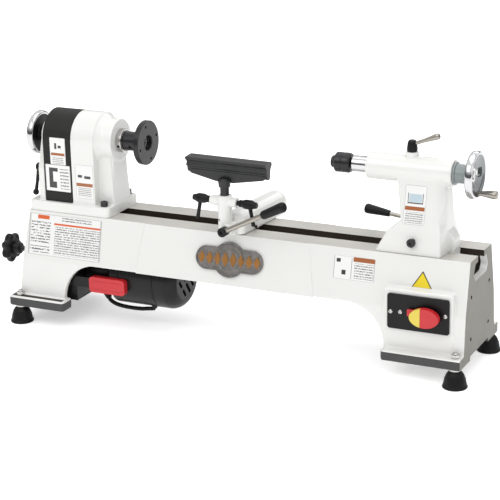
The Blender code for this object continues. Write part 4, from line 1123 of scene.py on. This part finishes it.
def fan_cover():
    rim, wall = MOTOR_X[1] + 0.3, 3.5
    outer = [(FAN_FACE, 0), (FAN_FACE, 40), (277, 46.5), (271, 51.5), (262, MOTOR_R), (rim, MOTOR_R)]
    inner = [(rim, MOTOR_R - wall), (261, MOTOR_R - wall), (269, 48), (274, 43.5), (277.5, 38), (277.5, 0)]
    cover = along_x("fan_cover_pressed", outer + inner, 0, MOTOR_Z, 128, 3)
    for row in (-1, 1):
        for i in range(4):
            y = -22.5 + 15 * i
            reach = 26 if abs(y) < 10 else 17
            z = MOTOR_Z + row * (3 + reach / 2)
            outline = rounded((y - 3.1, y + 3.1), (z - reach / 2, z + reach / 2), 3.0, 6)
            slot = prism("slot", outline, "X", 270, 290)
            swing([slot], world(0, 0, MOTOR_Z), "X", 35)
            cut(cover, slot)
    show(cover, "fan_cover", BLACK, bevel=0.4)
    for k in range(3):
        t = math.radians(30 + 120 * k)
        head = [(0, 0), (0, 3.2), (1.6, 2.6), (2.2, 0)]
        base = world(252, 54.2 * math.cos(t), MOTOR_Z + 54.2 * math.sin(t))
        out = Vector((0, math.cos(t), math.sin(t)))
        screw = turned(f"fan_cover_screw_{k + 1}", head[:3] + [(1.6, 0)], base - out * 0.0008, base + out,
                       40, 0.4)
        show(screw, None, STEEL, body="motor")


def tension_grip():
    grip = prism("tension_grip_moulded", rounded((122, 192), (-134, -106), 6), "Y", -66.5, -55.4)
    cut(grip, box("bar_socket", (110, 186.3), (-62.8, -57.2), (-128.3, -109.7)))
    for z in (-112.5, -127.5):
        cut(grip, prism("groove", rounded((129, 185), (z - 0.7, z + 0.7), 0.65, 4), "Y", -68, -66))
    show(grip, "tension_grip", RED, bevel=1.1)


def cooling_fan():
    fan = ring("cooling_fan_moulded", (246, 258), 12, 7.3, 0, MOTOR_Z, 64)
    for i in range(7):
        blade = box("blade", (247, 257), (-1.2, 1.2), (MOTOR_Z + 10, MOTOR_Z + 45))
        swing([blade], world(0, 0, MOTOR_Z), "X", 360 / 7 * i)
        fuse(fan, blade)
    show(fan, "cooling_fan", PLASTIC, bevel=0.4)


def lead_gland():
    start, end = GLAND
    length = (end - start).length / MM
    profile = [(0, 0), (0, 6.5), (3.6, 6.5), (4, 6), (5.4, 5.6), (5.8, 6), (7, 5.8), (7.4, 5.2), (8.6, 5),
               (9, 5.4),
               (10.2, 5.2), (length, 4.6), (length, 0)]
    show(turned("lead_gland_ribbed", profile, start, end, 48, 0.2), "lead_gland", RUBBER)


def smooth_route(points, count):
    """A Catmull-Rom curve through given points, evenly stepped."""
    ends = [points[0] * 2 - points[1]] + points + [points[-1] * 2 - points[-2]]
    found = []
    for a, b, c, d in zip(ends, ends[1:], ends[2:], ends[3:]):
        for i in range(count):
            t = i / count
            found.append(0.5 * ((2 * b) + (c - a) * t + (2 * a - 5 * b + 4 * c - d) * t * t
                                + (3 * b - a - 3 * c + d) * t * t * t))
    return found + [points[-1]]


def motor_lead():
    """The short lead that loops under the motor, from the bracket's gland to the motor's."""
    out = (GLAND[1] - GLAND[0]).normalized()
    back = (LEAD_ENTRY[1] - LEAD_ENTRY[0]).normalized()
    start = [GLAND[1] + out * (distance * MM) for distance in (0.3, 3)]
    end = [LEAD_ENTRY[1] + back * (distance * MM) for distance in (3, 0.3)]
    via = [world(x, -27, z) for x, z in ((145, -162.5), (156, -166.2), (171, -168), (188, -168.4),
                                         (204, -167.6), (217, -165.6))]
    points = start[:1] + smooth_route(start[1:] + via + end[:1], 5) + end[1:]
    curve = bpy.data.curves.new("motor_lead_cord", "CURVE")
    curve.dimensions = "3D"
    curve.bevel_depth = LEAD_R * MM
    curve.bevel_resolution = 8
    curve.use_fill_caps = True
    spline = curve.splines.new("POLY")
    spline.points.add(len(points) - 1)
    for knot, point in zip(spline.points, points):
        knot.co = (*point, 1)
    curve.materials.append(RUBBER)
    lead = bpy.data.objects.new("motor_lead_cord", curve)
    bpy.context.scene.collection.objects.link(lead)
    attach(lead, "motor")
    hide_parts("motor_lead")


def rotor():
    profile = [(28, 0), (28, 6.4), (28.8, 7), (261.2, 7), (262, 6.4), (262, 0)]
    show(along_x("rotor_shaft_ground", profile, 0, MOTOR_Z, 64), "rotor_shaft", STEEL)
    stepped_pulley("motor_pulley_turned", "motor_pulley", (24, BELT_R, 36), 7.3, MOTOR_Z)
    cooling_fan()


def build_motor():
    motor_bracket()
    motor_housing()
    fan_cover()
    tension_grip()
    lead_gland()
    motor_lead()
    rotor()


# ---------------------------------------------------------------- tool rest

LEVER_SLOPE = math.radians(26.8)
LEVER_Y = -84.7
GRIP_START = 84.0
GRIP_END = 132.0


def banjo_tilt(*objects):
    swing(objects, world(BANJO_X, 0, 0), "Z", BANJO_TILT)


def clamp_plate(name, node, x, hole=False):
    plate = box(name, (x - 17, x + 17), (-34, 34), (-26, -WAY_THICK - 0.3))
    if hole:
        fuse(plate, box("guide", (x - 12, x + 12), (-14.5, 14.5), (-16, -6)))
        cut(plate, rod("hole", world(x, 0, -40), world(x, 0, 0), 6.3, 48))
    else:
        fuse(plate, rod("shank", world(x, 0, -36), world(x, 0, TAIL_CAM[1]), 6, 48))
        fuse(plate, rod("nut", world(x, 0, -35), world(x, 0, -25), 10.5, 6))
        fuse(plate, rod("eye", world(x, -8, TAIL_CAM[1]), world(x, 8, TAIL_CAM[1]), 10, 48))
        cut(plate, rod("eye_hole", world(x, -12, TAIL_CAM[1]), world(x, 12, TAIL_CAM[1]), 5.3, 48))
    show(plate, node, IRON, bevel=0.8)


def banjo_clamp_bolt():
    bolt = rod("banjo_clamp_bolt_forged", world(BANJO_X, 0, -38), world(BANJO_X, 0, 8), 6, 48)
    fuse(bolt, rod("nut", world(BANJO_X, 0, -36), world(BANJO_X, 0, -26.3), 10.5, 6))
    eye = rod("eye", world(BANJO_X, -8, CAM_Z), world(BANJO_X, 8, CAM_Z), 10, 64)
    hole = rod("eye_hole", world(BANJO_X, -12, CAM_Z), world(BANJO_X, 12, CAM_Z), 5.3, 48)
    banjo_tilt(eye, hole)
    fuse(bolt, eye)
    cut(bolt, hole)
    show(bolt, "banjo_clamp_bolt", STEEL, bevel=0.6)


def banjo():
    layers = []
    for z, inset in ((0.3, 1.0), (3, 0), (22, 0), (30, 3), (34.5, 7.5), (37, 13)):
        half = 21 - inset
        back = arc((BANJO_X, BANJO_REAR), (half, half), 0, 180, 32)
        front = arc((BANJO_X, -48 + inset * 0.6), (half, 10), 180, 360, 20)
        layers.append([world(x, y, z) for x, y in back + front])
    shape = loft("banjo_cast", layers)
    x, y = COLUMN
    column = rod("column", world(x, y, 2), world(x, y, COLUMN_TOP), 12, 96)
    neck = box("neck", (x - 11, BANJO_X + 11), (-66, -48), (2, 24))
    nose = rod("cam_boss", world(BANJO_X, -77.5, CAM_Z), world(BANJO_X, -50, CAM_Z), 10.5, 64)
    arm = rod("lever_boss", world(x - 26, y, LEVER_Z), world(x + 24, y, LEVER_Z), 8.5, 64)
    inside = box("inside", (BANJO_X - 14.5, BANJO_X + 14.5), (-44, BANJO_REAR + 4), (-5, 24))
    cam_hole = rod("cam_hole", world(BANJO_X, -90, CAM_Z), world(BANJO_X, 86, CAM_Z), 5.3, 48)
    post_hole = rod("post_hole", world(x, y, 28), world(x, y, 90), 7.8, 64)
    lever_hole = rod("lever_hole", world(x - 40, y, LEVER_Z), world(x + 40, y, LEVER_Z), 4.3, 32)
    slit = box("slit", (x - 14, x - 3), (-92, -70), (27, 30))
    banjo_tilt(shape, column, neck, nose, arm, inside, cam_hole, post_hole, lever_hole, slit)
    fuse(shape, neck, column, nose, arm)
    cast(shape, 1.0, 6)
    cut(shape, inside, cam_hole, post_hole, lever_hole, slit)
    # The walls of the slit in the column take painted shade.
    show(shape, "banjo", WHITE, sharp=40,
         tints=[(INSIDE_SHADE, lambda p, n: 27.2 < p.z < 29.8 and p.y < -60 and abs(n.z) < 0.5 and p.y > -77)])
    screw = turned("banjo_grub_screw", [(0, 0), (0, 2.6), (3.4, 2.6), (3.4, 0)], world(424.3, -17, 6),
                   world(430, -17, 6), 32, 0.5)
    banjo_tilt(screw)
    show(screw, None, BLUED, body=BODY_OF["banjo"])


def lever_point(distance):
    """A point on the banjo lever's own line, before the banjo's tilt."""
    return world(BANJO_X + distance * math.cos(LEVER_SLOPE), LEVER_Y,
                 CAM_Z + distance * math.sin(LEVER_SLOPE))


def banjo_lever():
    shaft = rod("banjo_lever_bright", world(BANJO_X, -88, CAM_Z), world(BANJO_X, 82, CAM_Z), 5, 64)
    hub = turned("hub", [(0, 0), (0, 8), (12.6, 8), (12.6, 0)], world(BANJO_X, -91, CAM_Z),
                 world(BANJO_X, 0, CAM_Z), 64, 1.2)
    arm = rod("arm", lever_point(2), lever_point(GRIP_END - 8), 4.2, 64)
    dimple = rod("dimple", world(BANJO_X, -95, CAM_Z), world(BANJO_X, -89, CAM_Z), 3.4, 32)
    banjo_tilt(shaft, hub, arm, dimple)
    fuse(shaft, hub, arm)
    cut(shaft, dimple)
    axis = world(BANJO_X, 0, CAM_Z)

    def on_hub(p, n):
        spot = Matrix.Rotation(math.radians(-BANJO_TILT), 3, "Z") @ (Vector(p) - local(axis))
        return math.hypot(spot.x, spot.z) < 8.4 and spot.y < -77

    show(shaft, "banjo_lever", DRAWN, bevel=0.4, tints=[(PLASTIC, on_hub)])


def grip_profile(length, start, end, swell):
    """A hand grip that widens from its collar and is rounded off at its end."""
    return [(0, 0), (0, start), (2.4, start + 0.5), (3, start + 0.9),
            (length * 0.5, (start + end) / 2 + swell),
            (length - 5, end), (length - 1.6, end - 1.2), (length, end - 3.4), (length, 0)]


def banjo_lever_grip():
    length = GRIP_END - GRIP_START
    grip = turned("banjo_lever_grip_moulded", grip_profile(length, 6.4, 8.6, 0.5), lever_point(GRIP_START),
                  lever_point(GRIP_END), 64, 2)
    socket = turned("socket", [(-1, 0), (-1, 4.5), (length - 7.7, 4.5), (length - 7.7, 0)],
                    lever_point(GRIP_START),
                    lever_point(GRIP_END), 48, 0)
    banjo_tilt(grip, socket)
    cut(grip, socket)
    show(grip, "banjo_lever_grip", PLASTIC)


def post_lever(name, node, side):
    """A clamping handle on the column: a fluted hub along X with an arm that hangs from it."""
    x, y = COLUMN
    start = x + side * 11
    reach = [(0, 0), (0, 4), (17.6, 4), (17.6, 6), (21, 6), (21, 5), (24, 6.5), (29, 8), (40, 8),
             (46, 5.5), (50, 5), (50, 0)]
    hub = turned("hub" + name, reach, world(start, y, LEVER_Z), world(start + side, y, LEVER_Z), 64, 1.2)
    for k in range(8):
        t = math.tau * k / 8
        out = Vector((0, math.cos(t), math.sin(t))) * (9.0 * MM)
        flute = rod("flute", world(start + side * 27, y, LEVER_Z) + out,
                    world(start + side * 42, y, LEVER_Z) + out, 1.7, 24)
        banjo_tilt(flute)
        hub_cut = flute
        cut(hub, hub_cut)
    foot_at = world(start + side * 43, y, LEVER_Z - 36)
    arm = turned("arm", [(0, 0), (0, 3.4), (26, 3.0), (33, 3.4), (36.7, 3.4), (36.7, 0)],
                 world(start + side * 36, y, LEVER_Z), foot_at, 48, 1.2)
    banjo_tilt(hub, arm)
    fuse(hub, arm)
    hub.name = name
    show(hub, node, PLASTIC, sharp=32)


def column_point(z):
    """A point on the column's axis, with the banjo's tilt."""
    offset = Matrix.Rotation(math.radians(BANJO_TILT), 3, "Z") @ Vector((COLUMN[0] - BANJO_X, COLUMN[1], 0))
    return world(BANJO_X + offset.x, offset.y, z)


def tool_rest():
    x0, x1 = REST_X
    top = REST_TOP
    section = [(-47, top + 0.5), (-69, top - 0.5), (-70, top - 3), (-68, top - 6), (-64.5, 121),
               (-64.5, 118)]
    section += [(-66.5, 116), (-66.5, 113.5), (-63, 111.5), (-62, 104.6), (-58, 101), (-53, 103),
                (-51, 119), (-46, 124)]
    rest = prism("tool_rest_cast", soften(section, 1.6, count=4), "X", x0, x1)
    x = column_point(0).x
    x = local(Vector((x, 0, 0))).x
    outline = soften([(x0 + 3, 108), (x1 - 3, 108), (x1 - 6, 101), (x + 16, 91), (x - 16, 91),
                      (x0 + 6, 101)], 5, count=6)
    web = prism("web", outline, "Y", -63.5, -56.5)
    swing([rest, web], column_point(0), "Z", REST_SKEW)
    fuse(rest, web)
    boss = [(0, 0), (0, 9.6), (7.5, 10.2), (9, 11.3), (11.5, 11.3), (15.5, 6), (15.5, 0)]
    fuse(rest, turned("boss", boss, column_point(84), column_point(110), 96, 0.8))
    cut(rest, rod("socket", column_point(80), column_point(99.3), 7.8, 64))
    show(rest, "tool_rest", HAMMER, bevel=0.8)
    post = turned("tool_rest_post_turned", [(0, 0), (0, 7.5), (57, 7.5), (57, 0)], column_point(42),
                  column_point(99), 96, 0.8)
    show(post, "tool_rest_post", BLUED)


def build_tool_rest():
    clamp_plate("banjo_clamp_plate_cast", "banjo_clamp_plate", BANJO_X, hole=True)
    banjo_clamp_bolt()
    banjo()
    banjo_lever()
    banjo_lever_grip()
    post_lever("post_lever_moulded", "post_lever", -1)
    post_lever("swivel_lever_moulded", "swivel_lever", 1)
    tool_rest()


# ---------------------------------------------------------------- tailstock

def tail_front(z):
    """The y of the tailstock's front face at a height."""
    for low, high in zip(TAIL_ROWS, TAIL_ROWS[1:]):
        if z <= high[0]:
            return -(low[3] + (high[3] - low[3]) * (z - low[0]) / (high[0] - low[0]))
    return -TAIL_ROWS[-1][3]


def tailstock_casting():
    loops = []
    for z, left, right, half, side, side_half in ((-5, 648, 760, 50, 763, 17),) + TAIL_ROWS:
        front = [(left, 6 - half), (left + 3, -half), (right, -half), (side, -side_half)]
        back = [(x, -y) for x, y in reversed(front)]
        loops.append([world(x, y, z) for x, y in front + back])
    tail = loft("tailstock_cast", loops)
    tongue = SLOT_HALF - 0.4
    heel = [(740, 1), (773, 1), (773, 20), (762, 36), (740, 36)]
    fuse(tail, prism("heel", soften(heel, 5, count=6), "Y", -tongue, tongue))
    x0, x1 = BARREL_X
    profile = [(x0, 0), (x0, BARREL_R), (x1, BARREL_R), (x1, 0)]
    fuse(tail, along_x("barrel", profile, 0, SWING, 96, 0))
    fuse(tail, rod("boss", world(LOCK_X, 0, SWING + 4), world(LOCK_X, 0, 156), 11.0, 64))
    cast(tail, 1.2, 10)
    cut(tail, box("planed_sole", (600, 850), (-90, 90), (-30, 0.3)))
    fuse(tail, box("tongue", (655, 772), (-tongue, tongue), (2 - WAY_THICK, 2)))
    bore = [(600, 0), (600, QUILL_R + 0.3), (740, QUILL_R + 0.3), (740, 10), (780, 10), (780, 0)]
    cut(tail, along_x("bore", bore, 0, SWING, 96, 0))
    cut(tail, rod("lock_hole", world(LOCK_X, 0, SWING), world(LOCK_X, 0, 170), 4.3, 32))
    x, z = TAIL_CAM
    cut(tail, rod("cam_hole", world(x, -60, z), world(x, 60, z), 5.3, 48))
    cut(tail, box("clamp_pocket", (x - 14, x + 14), (-17, 17), (-20, 38)))
    show(tail, "tailstock_casting", WHITE, sharp=40)
    sheet = printed("label_tail", PAPER, ((BROWN, (0.04, 0.96), (0.36, 0.46)),
                                          (INK, (0.14, 0.86), (0.53, 0.56)),
                                          (INK, (0.14, 0.17), (0.53, 0.8)), (INK, (0.83, 0.86),
                                                  (0.53, 0.8)),
                                          ((0.45, 0.55, 0.6), (0.2, 0.8), (0.57, 0.78))),
                    (((0.08, 0.92), (0.04, 0.32), 5),))
    label("tailstock_label", sheet_rows((692, 728), (46, 107)), tail_front, sheet, "tailstock")


def tailstock_cam_shaft():
    x, z = TAIL_CAM
    profile = [(0, 0), (0, 5.6), (1.5, 7.2), (5, 7.2), (5, 5), (115, 5), (115, 0)]
    shaft = turned("tailstock_cam_shaft_turned", profile, world(x, -55.5, z), world(x, 0, z), 64, 0.5)
    cut(shaft, rod("socket", world(x, -57, z), world(x, -53, z), 2.9, 6))
    show(shaft, "tailstock_cam_shaft", BLUED)


def tail_lever_point(distance):
    x, z = TAIL_CAM
    slope = math.atan(0.12)
    return world(x - distance * math.cos(slope), TAIL_LEVER_Y, z + distance * math.sin(slope))


def tailstock_lever():
    x, z = TAIL_CAM
    profile = [(0, 5.3), (0, 9), (12, 9), (12, 5.3)]
    lever = turned("tailstock_lever_forged", profile, world(x, TAIL_LEVER_Y - 6, z),
                   world(x, TAIL_LEVER_Y + 6, z), 64, 0.8)
    fuse(lever, rod("arm", tail_lever_point(7), tail_lever_point(TAIL_GRIP[1] - 8), 3.6, 48))
    show(lever, "tailstock_lever", DRAWN, bevel=0.4)
    start, end = (tail_lever_point(d) for d in TAIL_GRIP)
    length = TAIL_GRIP[1] - TAIL_GRIP[0]
    profile = [(0, 0), (0, 5.0), (1, 5.5), (length - 5, 8.6), (length - 1.8, 7.8), (length, 5.4),
               (length, 0)]
    grip = turned("tailstock_lever_grip_moulded", profile, start, end, 64, 1.5)
    cut(grip, turned("socket", [(-1, 0), (-1, 3.9), (length - 7.7, 3.9), (length - 7.7, 0)], start, end,
                     40, 0))
    show(grip, "tailstock_lever_grip", PLASTIC)


def quill():
    profile = [(QUILL_NOSE + 3, 8), (QUILL_NOSE + 3, QUILL_R - 1), (QUILL_NOSE + 4, QUILL_R),
               (705, QUILL_R)]
    profile += [(705, 6.3), (645, 6.3), (645, 8)]
    barrel = along_x("quill_ground", profile, 0, SWING, 96, 0.2)
    cut(barrel, box("keyway", (606, 710), (-1.6, 1.6), (SWING + QUILL_R - 2, SWING + 20)))
    show(barrel, "quill", CHROME)


def live_centre():
    profile = [(580, 0), (580, 6.3), (563.5, 6.3), (563.5, 15), (565, 16.5), (574, 16.5), (574.6, 15.9),
               (576, 15.9),
               (576.6, 16.5), (587, 16.5), (QUILL_NOSE, 14.5), (QUILL_NOSE, 7.7), (630, 7.7), (630, 0)]
    show(along_x("live_centre_body_turned", profile, 0, SWING, 96, 0.7), "live_centre_body", BLUED)
    point = [(555, 0), (555, 5), (556.2, 8.8), (557.5, 10), (563.2, 10), (563.2, 6), (579.5, 6), (579.5, 0)]
    show(along_x("live_centre_point_ground", point, 0, SWING, 96, 0.6), "live_centre_point", BLUED)


def quill_screw():
    profile = [(655, 0), (655, 6), (742, 6), (742, 9.7), (776, 9.7), (776, 6), (798, 6), (798, 0)]
    show(along_x("quill_screw_turned", profile, 0, SWING, 72, 0.5), "quill_screw", STEEL)
    profile = [(766.4, 10), (766.4, 18.5), (769.5, 18.5), (770.3, 16), (791, 15), (791, 6.3), (776.3, 6.3),
               (776.3, 10)]
    show(along_x("handwheel_hub_moulded", profile, 0, SWING, 96, 0.7), "handwheel_hub", GREY)


def tailstock_handwheel():
    """A polished dished wheel, whose web has three openings."""
    profile = [(791.3, 6.3), (791.3, 13), (794, 31), (792, 34), (793, 37.5), (796.5, WHEEL_R),
               (801.5, WHEEL_R)]
    profile += [(805.5, 37.5), (805.5, 34), (802, 31), (797, 13), (797, 6.3)]
    wheel = along_x("tailstock_handwheel_polished", profile, 0, SWING, 128, 2.2)
    for i in range(3):
        opening = prism("opening", rounded((-8, 8), (13, 28), 5, 8), "X", 786, 811)
        opening.data.transform(Matrix.Translation(Vector((0, 0, SWING * MM))))
        swing([opening], world(0, 0, SWING), "X", 150 + 120 * i)
        cut(wheel, opening)
    cut(wheel, rod("pin_hole", world(786, 0, HANDLE_Z), world(816, 0, HANDLE_Z), 2.8, 32))
    def dish(p, n):
        return 9 < math.hypot(p.y, p.z - SWING) < 33.5

    show(wheel, "tailstock_handwheel", CHROME, tints=[(SATIN, dish)])


def handwheel_handle():
    profile = [(797, 0), (797, 2.5), (806, 2.5), (806, 4.5), (811, 4.2), (820, 5.5), (829, 7.0),
               (834.5, 7.0),
               (HANDLE_END, 5.4), (HANDLE_END, 0)]
    show(along_x("handwheel_handle_polished", profile, 0, HANDLE_Z, 64, 1.8), "handwheel_handle", DRAWN)


def quill_lock_lever():
    profile = [(0, 0), (0, 4), (15.3, 4), (15.3, 8.5), (20, 8.8), (30, 7.5), (34, 5.5), (34, 0)]
    lever = turned("quill_lock_lever_moulded", profile, world(LOCK_X, 0, 141), world(LOCK_X, 0, 180), 72,
                   1.8)
    arm = [(0, 0), (0, 2.8), (20, 3.2), (43, 5.2), (46, 4.4), (47, 3.0), (47, 0)]
    fuse(lever, turned("arm", arm, world(LOCK_X + 2, 0, 168.5), world(LOCK_X + 47, 0, 186), 48, 0.8))
    on_arm = (DRAWN, lambda p, n: p.x > LOCK_X + 9.2)
    show(lever, "quill_lock_lever", PLASTIC, tints=[on_arm])


def build_tailstock():
    tailstock_casting()
    clamp_plate("tailstock_clamp_forged", "tailstock_clamp", TAIL_CAM[0])
    tailstock_cam_shaft()
    tailstock_lever()
    quill()
    live_centre()
    quill_screw()
    tailstock_handwheel()
    handwheel_handle()
    quill_lock_lever()


# ---------------------------------------------------------------- switch

def ellipse(x, z, rx, rz, count=96):
    return arc((x, z), (rx, rz), 0, 360 - 360 / count, count - 1)


def switch_plate():
    plate = prism("switch_plate_moulded", rounded((684, 788), (-115.5, -57), 4), "Y", -83.5, -79.8)
    fuse(plate, box("switch_body", (692, 779), (-80.5, -63), (-108, -64)))
    x, z = PADDLE
    cut(plate, box("rocker_slot", (x - 17, x + 17), (-95, -70), (z - 12, z + 12)))
    show(plate, "switch_plate", PLASTIC, bevel=0.9)
    for k, (x, z) in enumerate(((690, -87), (706.5, -86), (782, -84))):
        head = turned(f"switch_screw_{k + 1}", [(0, 0), (0, 3.6), (1.2, 3.4), (1.9, 2.0), (1.9, 0)],
                      world(x, -83.4, z),
                      world(x, -90, z), 48, 0.5)
        for turn in (20, 110):
            slot = box("drive", (x - 2.4, x + 2.4), (-90, -84.1), (z - 0.5, z + 0.5))
            swing([slot], world(x, 0, z), "Y", turn)
            cut(head, slot)
        show(head, None, STEEL, body="bed")


def switch_paddle():
    x, z = PADDLE
    paddle = prism("switch_paddle_moulded", ellipse(x, z, 24.5, 15.8), "Y", -98, -88.5)
    fuse(paddle, box("tab", (x - 30, x - 12), (-91.2, -88), (z - 1, z + 10)))
    fuse(paddle, box("rocker", (x - 9, x + 9), (-90, -75), (z - 10, z + 10)))
    cut(paddle, box("key_seat", (x - 40, x - 6), (-100, -91.5), (z - 30, z + 30)))
    cut(paddle, box("key_slot", (x - 16.3, x - 9.7), (-93, -89.6), (z - 5.3, z + 5.3)))
    show(paddle, "switch_paddle", RED, bevel=1.0)


def switch_key():
    x, z = PADDLE
    key = prism("switch_key_moulded", ellipse(x, z, 24.5, 15.8), "Y", -98, -91.8)
    cut(key, box("far_side", (x - 6.4, x + 40), (-100, -80), (z - 30, z + 30)))
    fuse(key, box("blade", (x - 16, x - 10), (-93, -89.9), (z - 5, z + 5)))
    show(key, "switch_key", YELLOW, bevel=0.9)


# ---------------------------------------------------------------- studio

def studio_floor():
    bm = bmesh.new()
    corners = [bm.verts.new((x, y, FLOOR_Z)) for x, y in ((-12, -12), (12, -12), (12, 12), (-12, 12))]
    bm.faces.new(corners)
    floor = made("floor", bm)
    material, tree, shader = blank("pale_floor", "white_paint")
    coords = add(tree, "TexCoord").outputs["Object"]
    tree.links.new(ramp(tree, noise(tree, coords, 2),
                        ((0.3, (0.86, 0.86, 0.86)), (0.7, (0.88, 0.88, 0.88)))),
                   shader.inputs["Base Color"])
    shader.inputs["Roughness"].default_value = 0.8
    shader.inputs["Emission Color"].default_value = (1, 1, 1, 1)
    shader.inputs["Emission Strength"].default_value = 0.42
    floor.data.materials.append(material)


def lamp(name, place, target, size, power):
    light = bpy.data.lights.new(name, "AREA")
    light.shape = "RECTANGLE"
    light.size, light.size_y = size
    light.energy = power
    obj = bpy.data.objects.new(name, light)
    obj.location = place
    obj.rotation_euler = (Vector(target) - Vector(place)).to_track_quat("-Z", "Y").to_euler()
    bpy.context.scene.collection.objects.link(obj)


def studio_light():
    lamp("key", (-0.4, -1.7, 2.0), (0, 0, 0.2), (1.6, 1.2), 15)
    lamp("top", (0.2, 0.2, 2.2), (0, 0, 0.2), (2.0, 1.4), 9)
    lamp("side", (2.2, -0.9, 1.2), (0.1, 0, 0.2), (1.0, 1.2), 4)
    lamp("back", (0.4, 2.2, 1.6), (0, 0, 0.2), (2.0, 1.0), 6)
    sky = bpy.data.worlds.new("studio")
    sky.use_nodes = True
    tree = sky.node_tree
    split = add(tree, "SeparateXYZ")
    tree.links.new(add(tree, "TexCoord").outputs["Generated"], split.inputs[0])
    dome = ramp(tree, split.outputs["Z"], ((0.0, (0.10, 0.10, 0.10)), (0.22, (0.17, 0.17, 0.17)),
                                           (0.5, (1, 1, 1))))
    tree.links.new(dome, tree.nodes["Background"].inputs["Color"])
    tree.nodes["Background"].inputs["Strength"].default_value = 1.15
    bpy.context.scene.world = sky
    bpy.context.scene.view_settings.view_transform = "Standard"


def camera():
    place = world(1591.7, -2473.2, 840.3)
    target = world(403.5, 0, -43.67)
    lens = bpy.data.cameras.new("camera")
    lens.lens = 122.1
    lens.sensor_width = 36
    eye = bpy.data.objects.new("camera", lens)
    eye.location = place
    eye.rotation_mode = "QUATERNION"
    eye.rotation_quaternion = (target - place).to_track_quat("-Z", "Y") @ Quaternion((0, 0, 1),
            math.radians(ROLL))
    bpy.context.scene.collection.objects.link(eye)
    bpy.context.scene.camera = eye



camera()
studio_floor()
studio_light()
build_bed()
build_headstock()
build_motor()
build_tool_rest()
build_tailstock()
switch_plate()
switch_paddle()
switch_key()
